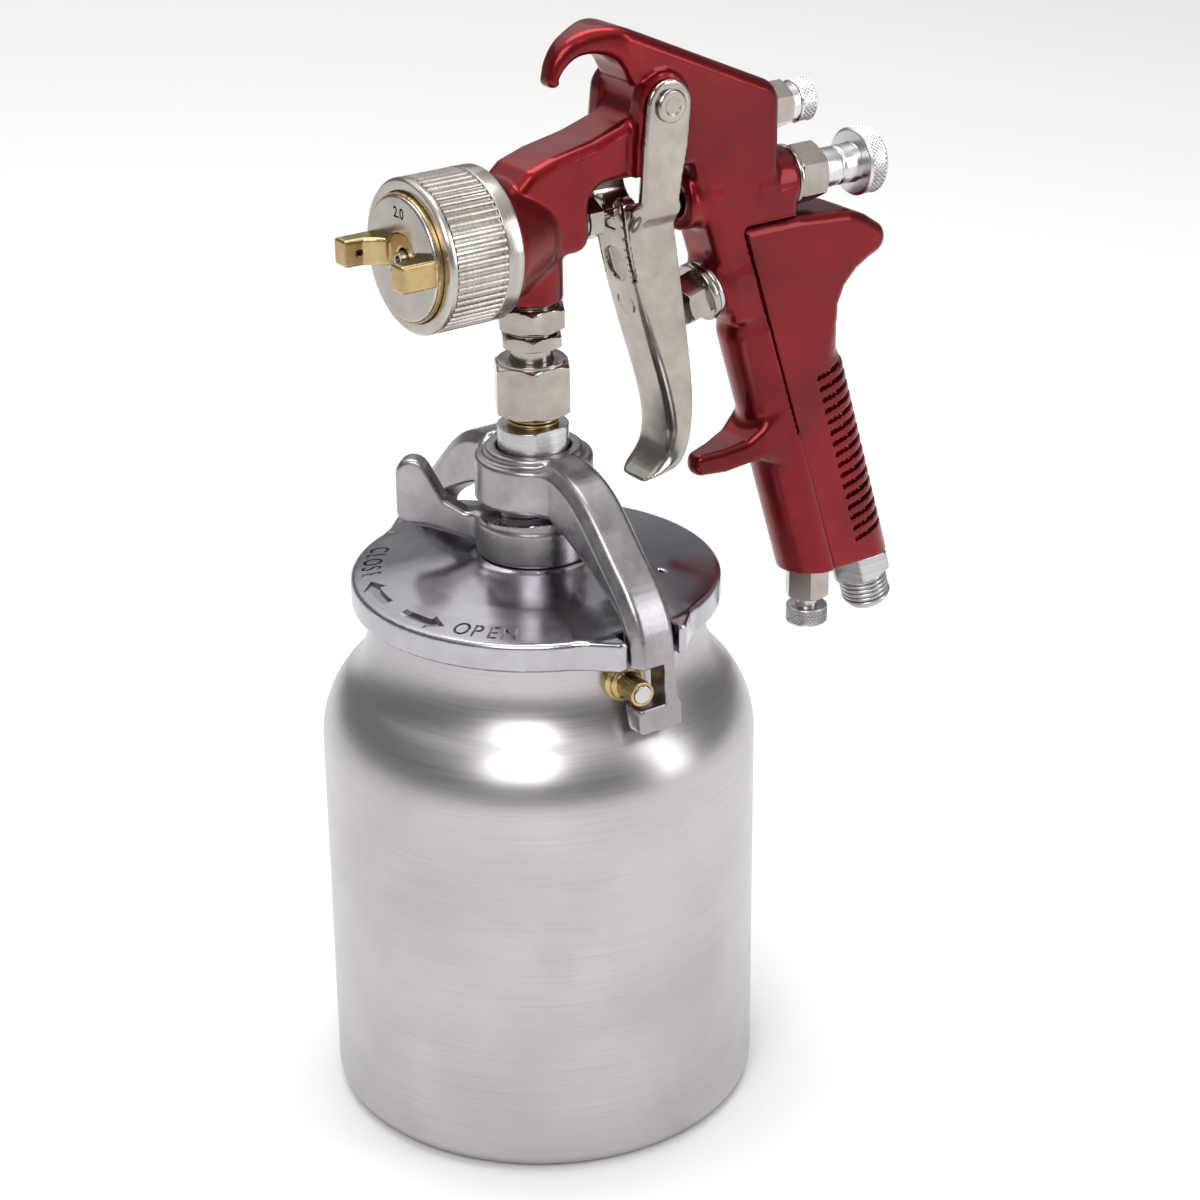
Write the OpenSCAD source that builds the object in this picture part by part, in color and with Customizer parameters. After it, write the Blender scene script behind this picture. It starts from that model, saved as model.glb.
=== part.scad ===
// Suction-feed spray gun on a one litre cup.
// Origin: centre of the cup's base. +Z up along the cup's axis, nozzle towards -X, handle towards +X.

/* [Cup] */
// Outer radius of the cup's body
cup_r = 54; // [53:0.5:55]
// Outer radius of the cup's neck
neck_r = 41.5; // [41:0.25:42]
// Height where the straight wall ends and the shoulder begins
shoulder_z = 97; // [94:0.5:99]
// Height where the neck begins
neck_z = 128; // [127:0.5:129]
// Height of the lip
lip_z = 136; // [135.5:0.1:136.2]
// Wall thickness
cup_wall = 1.8; // [1.5:0.1:2.2]
// Height of the two studs on the neck
stud_z = 127; // [126.5:0.1:127.3]
// Angle by which the studs trail the yoke's arms
stud_lag = 6; // [5:0.5:7]

/* [Lid and yoke] */
// Radius of the lid's rim
lid_r = 45.4; // [45:0.1:46]
// Distance from the cup's axis to the lid's lug faces
lug_y = 48.8; // [48:0.1:49.5]
// Half width of the yoke's arms
arm_half = 6.4; // [6:0.1:6.6]
// Radius of the yoke's hub and of the cam ring
hub_r = 14.4; // [14:0.1:15]
// Lift of the yoke over the lever's swing
yoke_travel = 1.6; // [1.2:0.1:1.8]
// Swing of the cam lever in degrees
lever_swing = 80; // [60:5:80]
// Direction of the lever's tab when it is closed
tab_az = 135; // [132:1:140]

/* [Gun] */
// Height of the nozzle's axis
axis_z = 225.6; // [225:0.1:226]
// Thickness of the cast body and handle
body_t = 16; // [15.5:0.1:16.4]
// Height of the handle's cut lower end
handle_z = 119; // [118:0.5:120]
// Horizontal run of the handle per millimetre of height
rake = 0.299; // [0.29:0.001:0.305]
// Trigger pivot, distance forward of the cup's axis
pivot_x = 32.2; // [32:0.1:32.5]
// Trigger pivot height
pivot_z = 252.9; // [252.5:0.1:253.2]
// Height of the fan control's axis
fan_z = 244.2; // [243.8:0.1:244.6]

/* [Thread sizes] */
// Major radius of the air inlet's quarter inch parallel thread
inlet_r = 6.58; // [6.5:0.01:6.6]
// Radius of the three-eighths fluid threads
fluid_thread_r = 6.4; // [6.3:0.05:6.5]

/* [Hidden] */
$fn = 72;
run = 0.06;                                   // radial running clearance of a moving fit
half_t = body_t / 2;
rake_deg = atan(rake);
convex_r = 24;                                // shoulder arc next to the straight wall
shoulder_h = neck_z - shoulder_z;
concave_r = (pow(shoulder_h, 2) + pow(cup_r - neck_r, 2)) / (2 * (cup_r - neck_r)) - convex_r;
rim_z = [132.6, 139.8];                       // lower and upper edge of the lid's rim
boss_r = 14.8;                                // raised centre of the lid
boss_z = 145.3;
notch_half = arm_half + 1.1;
notch_y = 43.8;                               // inner wall of the lid's notches
post_r = 8.7;
post_top = 178;
ring_z = [145.4, 154.6];                      // cam ring
hub_z = [159.3, 172.6];                       // yoke hub
window_z = [122.6, 132.4];                    // hook notch in the yoke's arms
cam_slope = yoke_travel / lever_swing;        // lift per degree
pad_half = 10;                                // half angle of the yoke's follower pads
cam_mid = 157.3;                              // cam height under the middle of a pad
front_mid = [64.7, 191.2];                    // a point on the axis of the handle's rounded front
front_low = front_mid[0] + (front_mid[1] - handle_z) * rake;
back_low = front_low + 16.5;                  // centre of the rounded back at the lower end
seam_top = [59.7, 217.3];
seam_low = [89.2, handle_z];
valve_at = [52.6, 201.8];                     // where the air valve's axis meets the handle's front
knob_x = front_low + 0.1;                     // air control's axis

// Points of an arc about c, from angle a0 to a1 in n steps.
function arc(c, r, a0, a1, n = 8) =
  [for (i = [0:n]) let (a = a0 + (a1 - a0) * i / n) [c[0] + r * cos(a), c[1] + r * sin(a)]];

// x of the rounded front's axis at height z.
function front_x(z) = front_mid[0] + (front_mid[1] - z) * rake;

// Revolves [x, r] points about the nozzle's axis, or about a parallel axis at height z.
module about_x(points, z = axis_z) {
  translate([0, 0, z]) rotate([0, 90, 0])
    rotate_extrude() polygon([for (p = points) [p[1], p[0]]]);
}

// Revolves [r, z] points about the cup's axis.
module about_z(points) {
  rotate_extrude() polygon(points);
}

// Cylinder along X from x0 to x1.
module rod_x(x0, x1, r, z = axis_z, sides = 72) {
  translate([x0, 0, z]) rotate([0, 90, 0]) cylinder(r = r, h = x1 - x0, $fn = sides);
}

// Cylinder along Z from z0 to z1.
module rod_z(z0, z1, r, sides = 72) {
  translate([0, 0, z0]) cylinder(r = r, h = z1 - z0, $fn = sides);
}

// Side outline given as [x, z] points, made a plate that is centred on y = 0.
module plate(points, t) {
  rotate([90, 0, 0]) linear_extrude(height = t, center = true) polygon(points);
}

// Places its children on the air valve's axis: local +Z runs into the handle.
module on_valve_axis() {
  translate([valve_at[0], 0, valve_at[1]]) rotate([0, 90 - rake_deg, 0]) children();
}

// Places its children on the air inlet's axis: local +Z runs down and out of the handle.
module on_inlet_axis() {
  translate([back_low, 0, handle_z]) rotate([0, 180 - rake_deg, 0]) children();
}

// Coil spring along +Z with its ends closed onto flat turns.
module coil(r, wire, length, turns) {
  steps = 14;
  sides = 6;
  n = turns * steps;
  points = [for (i = [0:n], j = [0:sides - 1])
    let (a = 360 * i / steps, b = 360 * j / sides, q = r + wire * cos(b))
    [q * cos(a), q * sin(a), wire + (length - 2 * wire) * i / n + wire * sin(b)]];
  tube = [for (i = [0:n - 1], j = [0:sides - 1])
    let (k = (j + 1) % sides)
    [i * sides + j, i * sides + k, (i + 1) * sides + k, (i + 1) * sides + j]];
  ends = [[for (j = [sides - 1:-1:0]) j], [for (j = [0:sides - 1]) n * sides + j]];
  polyhedron(points, concat(tube, ends), convexity = 10);
}

// ---- cup ----

// Outer outline of the cup from its axis to its lip, or the inner one, a wall's thickness inside.
function cup_outline(t, floor_z, top) = concat(
  [[0, floor_z]],
  arc([cup_r - 4.5, floor_z + 4.5 - t], 4.5 - t, -90, 0, 6),
  arc([cup_r - convex_r, shoulder_z], convex_r - t, 0, acos((cup_r - neck_r - convex_r - concave_r)
    / -(convex_r + concave_r)), 12),
  arc([neck_r + concave_r, neck_z], concave_r + t,
    180 + acos((cup_r - neck_r - convex_r - concave_r) / -(convex_r + concave_r)), 180, 10),
  [[neck_r - t, top], [0, top]]);

module cup_solid() {
  difference() {
    about_z(cup_outline(0, 0, lip_z));
    about_z(cup_outline(cup_wall, 2.2, lip_z + 1));
  }
}

module at_studs() {
  for (a = [-90 - stud_lag, 90 - stud_lag])
    translate([0, 0, stud_z]) rotate([0, 0, a]) rotate([0, 90, 0]) children();
}

stud_r = 3.05;
pin_r = 2.2;

module cup() {
  color("silver") difference() {
    cup_solid();
    at_studs() rod_z(30, 60, stud_r);
  }
}

module cup_studs() {
  color("goldenrod") difference() {
    at_studs() union() {
      rod_z(38.4, 41, 4.6);
      rod_z(40.6, 43.4, 5.2);
      rod_z(43.3, 44.6, 4.2);
      rod_z(38.4, 52, stud_r);
    }
    difference() {
      cup_solid();
      at_studs() rod_z(30, 60, stud_r);
    }
    at_studs() rod_z(30, 60, pin_r);
  }
}

module stud_pins() {
  color("gainsboro") at_studs() rod_z(38.2, 52.3, pin_r);
}

// ---- lid, cam lever and yoke ----

module lug_pair() {
  for (s = [0, 180]) rotate([0, 0, s])
    translate([0, 0, rim_z[0]]) linear_extrude(height = rim_z[1] - rim_z[0])
      polygon([[-17.7, -41.8], [-9.5, -lug_y], [9.5, -lug_y], [17.7, -41.8]]);
}

module lid() {
  color("dimgray") difference() {
    union() {
      about_z([[0, rim_z[0]], [lid_r - 0.8, rim_z[0]], [lid_r, rim_z[0] + 0.8], [lid_r, rim_z[1] - 0.8],
        [lid_r - 0.8, rim_z[1]], [30, 142.6], [18, boss_z - 1.2], [boss_r, boss_z - 0.6],
        [boss_r - 0.6, boss_z], [0, boss_z]]);
      lug_pair();
    }
    about_z([[0, rim_z[0] - 1], [42.3, rim_z[0] - 1], [42.3, 137.8], [34, 138.6], [14, 141], [12.5, 136],
      [0, 136]]);
    rod_z(130, 150, 7);
    for (s = [-1, 1]) translate([0, s * (notch_y + 10), 136])
      cube([2 * notch_half, 20, 20], center = true);
    translate([20.8, -23.5, 130]) cylinder(r = 0.9, h = 20);
  }
}

module lid_gasket() {
  color("saddlebrown") about_z([[38, lip_z + 0.1], [42.2, lip_z + 0.1], [42.2, 137.8], [38, 137.8]]);
}

module post() {
  color("lightgray") difference() {
    union() {
      rod_z(131, boss_z, 7);
      rod_z(boss_z, 174, post_r);
      intersection() {
        rod_z(174, post_top, post_r);
        translate([0, 0, 176]) cube([4 * post_r, 15, 10], center = true);
      }
    }
    rod_z(120, 180, 5.2);
  }
}

module post_nut() {
  color("silver") difference() {
    rod_z(132, 136, 11.4, 6);
    rod_z(131, 137, 7);
  }
}

module stem() {
  color("goldenrod") difference() {
    union() {
      rod_z(120, post_top, 5.2);
      about_z([[0, post_top], [fluid_thread_r, post_top], [fluid_thread_r, 188.4], [4.4, 189.8],
        [0, 189.8]]);
    }
    rod_z(110, 195, 2.8);
    rod_z(110, 130, 4);
  }
}

module siphon_tube() {
  color("darkgray") difference() {
    rod_z(7, 130, 4);
    rod_z(0, 131, 3);
    translate([0, 0, 7]) rotate([0, -35, 0]) translate([-20, -20, -20]) cube([40, 40, 20]);
  }
}

// Spiral ramp between radii r0 and r1: its top climbs from z1 to z2 over the arc a0 to a1.
module ramp(r0, r1, a0, a1, z0, z1, z2) {
  n = 18;
  points = [for (i = [0:n]) let (a = a0 + (a1 - a0) * i / n, z = z1 + (z2 - z1) * i / n)
    each [[r0 * cos(a), r0 * sin(a), z0], [r1 * cos(a), r1 * sin(a), z0],
      [r1 * cos(a), r1 * sin(a), z], [r0 * cos(a), r0 * sin(a), z]]];
  walls = [for (i = [0:n - 1], j = [0:3]) let (k = (j + 1) % 4)
    [4 * i + j, 4 * i + k, 4 * i + 4 + k, 4 * i + 4 + j]];
  polyhedron(points, concat(walls, [[3, 2, 1, 0]], [[4 * n, 4 * n + 1, 4 * n + 2, 4 * n + 3]]));
}

module cam_lever() {
  low = lever_swing + pad_half;
  color("silver") difference() {
    union() {
      rod_z(ring_z[0], ring_z[1], hub_r - 0.1);
      for (s = [90, 270]) rotate([0, 0, s])
        ramp(post_r + 0.3, hub_r - 0.5, -low, pad_half, ring_z[1] - 0.6,
          cam_mid - low * cam_slope, cam_mid + pad_half * cam_slope);
      rotate([0, 0, tab_az]) plate(concat(
        [[11, 146.4], [16, 147.4], [26, 150], [32, 150.6]],
        arc([31, 153.6], 3, -60, 0, 4), arc([30, 163.6], 4, 0, 150, 8),
        [[22, 157.4], [17, 154.6], [11, 154]]), 5.5);
    }
    rod_z(140, 175, post_r + run);
  }
}

// Side outlines of one arm as [distance from the axis, z]: the outer and the inner edge.
arm_outer = [[13, 172.4], [19.4, 171.2], [25.4, 168.6], [31.4, 163.4], [38, 156.2], [44.6, 149.6],
  [48.8, 143.4], [50.6, 135.8], [51.4, 126], [52, 116.5]];
arm_inner = [[9.6, 159.4], [15, 159.2], [20, 157.6], [28, 153.6], [35, 149.4], [41, 145],
  [44.2, 141.4], [45.2, 134], [45.2, 124.4], [47.4, 116.5]];
arm_mid = [for (i = [0:len(arm_outer) - 1]) arm_outer[i] * 0.45 + arm_inner[i] * 0.55];

module arm_band(outer, inner, half) {
  rotate([90, 0, -90]) linear_extrude(height = 2 * half, center = true)
    polygon(concat(outer, [for (i = [len(inner) - 1:-1:0]) inner[i]]));
}

module yoke() {
  color("silver") difference() {
    union() {
      rod_z(hub_z[0], 170.6, hub_r);
      rod_z(170, hub_z[1], 12);
      for (s = [0, 180]) rotate([0, 0, s]) {
        arm_band(arm_mid, arm_inner, arm_half);
        arm_band(arm_outer, arm_inner, arm_half - 2);
        rotate([0, 0, 90]) ramp(post_r + 0.6, hub_r - 0.6, -pad_half, pad_half,
          cam_mid + pad_half * cam_slope + 0.1, hub_z[0] + 0.5, hub_z[0] + 0.5);
      }
    }
    rod_z(150, 180, post_r + 0.5);
    for (s = [0, 180]) rotate([0, 0, s])
      translate([-20, -60, window_z[0]]) cube([20.2, 20, window_z[1] - window_z[0]]);
  }
}

// ---- fluid coupling below the gun ----

module coupling_nut() {
  color("tan") difference() {
    rod_z(181.2, 194.6, 10, 6);
    rod_z(180, 191.6, fluid_thread_r);
    rod_z(190, 196, 5.2);
    difference() {
      rod_z(193.8, 196, 12);
      rod_z(193, 196, 8.2);
    }
  }
}

module fluid_inlet() {
  color("tan") difference() {
    union() {
      about_z([[0, 190.2], [4.4, 189.9], [6.3, 190.6], [6.3, 191.6], [5.2, 191.6], [5.2, 197.8],
        [0, 197.8]]);
      rod_z(197.8, 201, 8, 6);
      rod_z(201, 218, fluid_thread_r);
    }
    rod_z(185, 220, 2.6);
  }
}

module inlet_locknut() {
  color("tan") difference() {
    rod_z(202.3, 208, 8.9, 6);
    rod_z(202, 209, fluid_thread_r);
  }
}

// ---- gun body ----

// Outline of the bridge, the hanging hook and the upper body, as [x, z] points.
function body_outline() = concat(
  [[-9, 238], [-4.2, 242.2], [2.8, 244.4], [13.7, 246.5]],
  arc([20.2, 254.8], 6, -72, 40, 8),
  arc([15.8, 256.9], 8.8, 22, 155, 9),
  arc([6.5, 260.4], 1.6, -20, -190, 7),
  [[5.8, 264.8], [8.7, 268.9], [13.6, 271.4], [18.6, 272.3], [23.4, 271.5]],
  arc([62.5, 247], 6.5, 66, 0, 5),
  [[69, 226], [75.5, 226], [75.5, seam_top[1]], [seam_top[0], seam_top[1]], [seam_top[0] - 1, 216],
    seam_low, [front_low, handle_z], front_mid, [56, 192.6], [42.6, 235.5]],
  arc([17.6, 230.5], 5, 90, 180, 5),
  arc([8.6, 224], 4, 0, -90, 5),
  [[-9, 220]]);

module seam_groove() {
  for (s = [-1, 1]) translate([0, s * half_t, 0]) plate([
    [75.5, seam_top[1]], [seam_top[0], seam_top[1]], [seam_top[0] - 1, 216], seam_low,
    [seam_low[0] - 0.9, handle_z - 1], [seam_top[0] - 1.9, 216], [seam_top[0] - 0.6, seam_top[1] + 0.9],
    [75.6, seam_top[1] + 0.9]], 2);
}

// Boss that carries the air control across the seam.
module knob_boss() {
  translate([knob_x, 0, handle_z]) cylinder(r = 5, h = 12);
}

// Finger rest under the trigger, a tongue that narrows to its tip.
module spur() {
  intersection() {
    plate(concat([[71.6, 168], [66.5, 164.4], [61.6, 160.6], [55, 159]],
      arc([50, 155.6], 2.9, 110, 262, 7), [[56, 152.8], [66, 155.2], [74, 152]]), body_t);
    translate([0, 0, 140]) linear_extrude(height = 40)
      polygon([[47, -1.6], [48.4, -3.3], [66, -7.4], [74, -7.6], [74, 7.6], [66, 7.4], [48.4, 3.3],
        [47, 1.6]]);
  }
}

// What is cut from both sides of the hook, so that it narrows to its tip.
module hook_sides() {
  for (s = [-1, 1]) translate([0, 0, 256]) linear_extrude(height = 20)
    polygon([[0, s * 2.8], [5, s * 2.8], [14, s * 4.4], [24, s * (half_t + 0.05)], [24, s * 12],
      [0, s * 12]]);
}

module gun_body() {
  color("darkred") difference() {
    union() {
      plate(body_outline(), body_t);
      about_x([[-24, 0], [-24, 14.5], [-13.2, 14.5], [-13.2, 16.2], [-10, 15.4], [-4, 12.6], [0, 10.6],
        [3.4, 8], [6, 5], [8, 0]]);
      rod_z(209, axis_z, 7.8);
      rod_x(42, 50, 7.6);
      rod_x(66, 75.5, 8.2);
      intersection() {
        translate([front_low, 0, handle_z]) rotate([0, -rake_deg, 0])
          translate([0, 0, -10]) cylinder(r = half_t, h = 87);
        plate([[40, handle_z], [front_low + 0.5, handle_z], [front_x(196) + 0.5, 196], [40, 196]],
          2 * body_t);
      }
      on_valve_axis() translate([0, 0, -0.4]) cylinder(r = 7.6, h = 8);
      spur();
      knob_boss();
      for (s = [-1, 1]) translate([0, s * (half_t + 0.9), 0]) plate(concat(
        arc([pivot_x, pivot_z], 7.4, 0, 180, 12), [[pivot_x - 8.6, 236.4], [pivot_x + 5, 236.4]]), 3);
    }
    seam_groove();
    hook_sides();
    // nozzle, needle and packing
    rod_x(-25, -16.2, 11.5);
    rod_x(-20, -4.3, 6);
    rod_x(-5, 4, 3.2);
    rod_x(3, 14, 4.4);
    rod_x(40, 48, 1.2 + run);
    rod_x(46, 66.1, 4.4);
    rod_x(66, 80, 5.2);
    // fluid way
    rod_z(200, 218, fluid_thread_r);
    rod_z(217, axis_z, 2.6);
    // fan air way
    rod_x(52, 80, 4, fan_z);
    translate([-17, 0, 234.5]) rotate([0, 90 - atan(9.7 / 71), 0]) cylinder(r = 2.2, h = 71.7);
    // air valve chamber
    on_valve_axis() translate([0, 0, -2]) cylinder(r = 4.6, h = 40);
    // pivot pin and air control
    translate([pivot_x, 0, pivot_z]) rotate([90, 0, 0]) cylinder(r = 2.6, h = 40, center = true);
    translate([knob_x, 0, handle_z - 1]) cylinder(r = 3.2, h = 11);
  }
}

// Outline of the rear grip: horn, waist and the straight ribbed back.
function grip_outline() = concat(
  [[75.5, seam_top[1]], [92, 215.9], [97.8, 213.4]],
  arc([99.6, 206.9], 4.4, 48, -60, 7),
  [[98.8, 201.8], [94.8, 199.6], [91.2, 196], [89.3, 191.6], [89.3, 187], [91.4, 179.6]],
  [[front_x(176) + 24.6, 176], [back_low + 8.2, handle_z], seam_low, [seam_top[0] - 1, 216],
    [seam_top[0], seam_top[1]]]);

rib_count = 16;
rib_pitch = 3.32;

module grip_back() {
  color("firebrick") difference() {
    intersection() {
      plate(grip_outline(), body_t);
      union() {
        translate([0, -20, 178]) cube([130, 40, 60]);
        // rounded back over the ribbed length
        translate([back_low, 0, handle_z]) rotate([0, -rake_deg, 0])
          translate([0, 0, -10]) cylinder(r = half_t, h = 90);
        translate([0, 0, handle_z]) rotate([0, -rake_deg, 0])
          translate([0, -20, -30]) cube([cos(rake_deg) * back_low, 40, 120]);
      }
    }
    // grip ribs wrap round the back
    for (i = [0:rib_count - 1])
      translate([back_low, 0, handle_z]) rotate([0, -rake_deg, 0])
        translate([0, 0, 7.6 + rib_pitch * i]) difference() {
          translate([-4.5, -12, 0]) cube([30, 24, rib_pitch * 0.42]);
          translate([0, 0, -1]) cylinder(r = half_t - 1, h = 4);
          translate([-20, -half_t + 1, -1]) cube([20, body_t - 2, 4]);
        }
    translate([knob_x, 0, handle_z - 1]) cylinder(r = 5, h = 13);
    on_inlet_axis() translate([0, 0, -9]) cylinder(r = 5.4, h = 12);
    on_inlet_axis() translate([0, 0, -88]) cylinder(r = 3.2, h = 82);
    on_valve_axis() translate([0, 0, -2]) cylinder(r = 4.6, h = 27);
  }
}

// ---- nozzle, air cap and needle ----

module fluid_nozzle() {
  color("goldenrod") difference() {
    union() {
      rod_x(-17.1, -4.3, 6);
      rod_x(-20.6, -17, 8);
      rod_x(-24, -20.5, 7.4, axis_z, 6);
      about_x([[-36.2, 0], [-36.2, 1.7], [-33.2, 2], [-31.2, 4], [-24, 6.2], [-24, 0]]);
    }
    about_x([[-37, 0], [-37, 1], [-34.5, 1], [-29, 3], [-4, 3], [-4, 0]]);
  }
}

module nozzle_gasket() {
  color("black") difference() {
    rod_x(-17, -16.2, 7.9);
    rod_x(-18, -16, 6);
  }
}

module air_baffle() {
  color("goldenrod") difference() {
    rod_x(-20, -18.6, 11.5);
    rod_x(-21, -18, 8);
    for (a = [0:45:315]) translate([0, 0, axis_z]) rotate([a, 0, 0])
      translate([-21, 0, 9.7]) rotate([0, 90, 0]) cylinder(r = 0.9, h = 4);
  }
}

module cap_ring() {
  color("silver") about_x([[-33.4, 15.4], [-33.4, 17.8], [-32.8, 18.3], [-13.7, 18.3], [-13.3, 17.9],
    [-13.3, 14.5 + run], [-24, 14.5 + run], [-24, 16.9], [-31.2, 16.9], [-31.2, 15.4]]);
}

// One horn of the air cap, its outline as [x, y] seen from above.
module horn() {
  translate([0, 0, axis_z]) difference() {
    translate([0, 0, -3.3]) linear_extrude(height = 6.6) polygon([[-44, 10], [-44, 14.5],
      [-34.6, 14.5], [-34.6, 5.6], [-37, 8.2], [-39.4, 9.7]]);
    translate([-45.9, 0, 0]) rotate([0, 0, -30]) rotate([-90, 0, 0]) cylinder(r = 0.8, h = 14.2);
  }
}

module air_cap() {
  color("goldenrod") difference() {
    union() {
      about_x([[-35.2, 0], [-35.2, 14.7], [-34.7, 15.2], [-31.1, 15.2], [-31.1, 16.6], [-28.6, 16.6],
        [-28.6, 0]]);
      horn();
      mirror([0, 1, 0]) horn();
    }
    about_x([[-28, 0], [-28, 13], [-31.4, 13], [-33, 9], [-33.4, 0]]);
    rod_x(-36, -30, 2.5);
    for (s = [-1, 1]) translate([-40.4, s * 12, axis_z]) rotate([0, 90, 0]) cylinder(r = 1, h = 12.4);
    for (a = [45:90:315]) translate([-38, 0, axis_z]) rotate([a, 0, 0])
      translate([0, 0, 5]) rotate([0, 90, 0]) cylinder(r = 0.6, h = 8);
  }
}

module needle_packing() {
  color("white") difference() {
    rod_x(4, 7, 4.4);
    rod_x(3, 8, 1.2 + run);
  }
}

module packing_gland() {
  color("silver") difference() {
    union() {
      rod_x(7, 14.5, 4.4);
      rod_x(14.4, 18.4, 5.2, axis_z, 6);
    }
    rod_x(6, 20, 1.2 + run);
  }
}

module fluid_needle() {
  color("silver") about_x([[-35.6, 0], [-35.6, 0.2], [-34, 0.85], [-32.4, 1.2], [24.4, 1.2], [25.2, 2.4],
    [26.4, 3.2], [29, 3.2], [29, 1.2], [46.6, 1.2], [46.6, 3.4], [48.6, 3.4], [48.6, 1.2], [80, 1.2],
    [80, 0]]);
}

module needle_spring() {
  color("gray") translate([48.7, 0, axis_z]) rotate([0, 90, 0]) coil(2.7, 0.42, 13, 6);
}

module spring_seat() {
  color("silver") difference() {
    rod_x(61.8, 63.8, 4.1);
    rod_x(61, 65, 1.2 + run);
  }
}

module fluid_bush() {
  color("silver") difference() {
    union() {
      rod_x(66.1, 75.6, 5.2);
      rod_x(75.5, 77, 8);
      rod_x(77, 85.2, 7.8, axis_z, 6);
    }
    rod_x(60, 90, 3.4 + run);
  }
}

module fluid_knob() {
  color("gainsboro") difference() {
    union() {
      rod_x(63.9, 86, 3.4);
      rod_x(85.5, 97.6, 5);
      about_x([[97.5, 0], [97.5, 8.3], [97.9, 8.7], [102.8, 8.7], [103.2, 8.3], [103.2, 0]]);
    }
    rod_x(60, 94, 1.2 + run);
  }
}

// ---- trigger and air valve ----

// Front face of the trigger as [x, z], from its top to its curled tip.
blade_front = [[22.2, 228.6], [22.9, 223], [23.6, 217], [26.7, 205], [30.5, 192.6], [33.7, 183],
  [35.6, 176], [36.5, 170.6], [36.5, 166.8], [35.6, 163.2], [33.2, 160.2], [29.6, 157]];
blade_back = [[23.9, 228.6], [24.5, 223.2], [25.2, 217.3], [28.2, 205.4], [32, 193.1], [35.2, 183.5],
  [37.1, 176.3], [38, 170.8], [38.1, 166.6], [37.1, 162.6], [34.3, 159.1], [30.7, 155.8]];
// Rear edge of the trigger's cheeks, from the tip up to the ears.
cheek_back = [[30.7, 155.8], [33.6, 156.4], [36.6, 158.6], [38.9, 161.4], [40.7, 165], [41.7, 169.4],
  [42.1, 175], [41.9, 181], [41, 189], [39, 204], [36.9, 218], [35.4, 228.6]];

module trigger() {
  color("silver") difference() {
    union() {
      plate(concat(blade_front, [for (i = [len(blade_back) - 1:-1:0]) blade_back[i]]), 16.4);
      for (s = [-1, 1]) {
        // lower cheeks
        translate([0, s * 7.5, 0]) plate(concat(blade_front, cheek_back), 1.4);
        // shoulder between cheek and ear
        translate([0, s * 9.4, 0]) plate([[25, 222.4], [35.2, 222.4], [35.2, 226.6], [25, 226.6]], 5.2);
        // ear
        translate([0, s * 11.3, 0]) plate(concat(arc([pivot_x, pivot_z], 6.2, 0, 180, 14),
          [[24.9, 244], [24.3, 234], [25, 222.4], [35.2, 222.4], [35, 230], [35.8, 235],
            [37.4, 242.6]]), 1.4);
      }
    }
    translate([pivot_x, 0, pivot_z]) rotate([90, 0, 0]) cylinder(r = 2.6 + run, h = 40, center = true);
    // needle slot, open at the top
    translate([15, -2.1, axis_z - 3.4]) cube([14, 4.2, 20]);
    // window below the needle
    translate([15, 0, 213.2]) rotate([0, 90, 0]) cylinder(r = 4, h = 14);
  }
}

module trigger_pin() {
  color("gainsboro") translate([pivot_x, 0, pivot_z]) rotate([90, 0, 0]) difference() {
    union() {
      translate([0, 0, -13.6]) cylinder(r = 2.6, h = 26);
      translate([0, 0, 12.1]) cylinder(r = 4.05, h = 1.1);
    }
    translate([0, 0, -13]) difference() {
      cylinder(r = 4, h = 0.8);
      cylinder(r = 1.9, h = 0.8);
    }
  }
}

module pin_clip() {
  color("dimgray") translate([pivot_x, 13, pivot_z]) rotate([90, 0, 0]) difference() {
    cylinder(r = 4.4, h = 0.8);
    cylinder(r = 1.9, h = 3, center = true);
    translate([-1.7, -6, -1]) cube([3.4, 6, 3]);
  }
}

module valve_body() {
  color("tan") on_valve_axis() difference() {
    union() {
      translate([0, 0, -9.8]) cylinder(r = 6.5, h = 6.1, $fn = 6);
      translate([0, 0, -3.8]) cylinder(r = 7.7, h = 2.2);
      translate([0, 0, -1.7]) cylinder(r = 4.6, h = 9);
    }
    translate([0, 0, -12]) cylinder(r = 1.6 + run, h = 24);
  }
}

module valve_washer() {
  color("silver") on_valve_axis() difference() {
    translate([0, 0, -1.6]) cylinder(r = 7.4, h = 1.2);
    translate([0, 0, -4]) cylinder(r = 4.6, h = 9);
  }
}

module valve_stem() {
  color("gainsboro") on_valve_axis() {
    translate([0, 0, -21.6]) cylinder(r = 1.6, h = 30);
    translate([0, 0, 7.6]) cylinder(r = 4, h = 2);
  }
}

module valve_spring() {
  color("gray") on_valve_axis() translate([0, 0, 9.7]) coil(3.2, 0.4, 15, 7);
}

// ---- control knobs and air inlet ----

module fan_bush() {
  color("tan") difference() {
    union() {
      rod_x(60, 69.1, 4, fan_z);
      rod_x(69, 75, 6.1, fan_z, 6);
    }
    rod_x(58, 80, 2.2 + run, fan_z);
  }
}

module fan_stem() {
  color("gainsboro") about_x([[52.6, 0], [52.6, 0.8], [55, 2.2], [75.3, 2.2], [75.3, 1.5], [79, 1.5],
    [79, 0]], fan_z);
}

module fan_knob() {
  color("gainsboro") difference() {
    union() {
      rod_x(75.4, 77.7, 4.7, fan_z);
      about_x([[77.6, 0], [77.6, 5.1], [77.9, 5.4], [82, 5.4], [82.4, 5.1], [82.4, 0]], fan_z);
    }
    rod_x(75, 79.1, 1.5 + run, fan_z);
  }
}

module air_bush() {
  color("tan") translate([knob_x, 0, 0]) difference() {
    union() {
      rod_z(110, handle_z, 6.1, 6);
      rod_z(handle_z - 0.1, handle_z + 7, 3.2);
    }
    rod_z(100, 130, 1.9 + run);
  }
}

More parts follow.
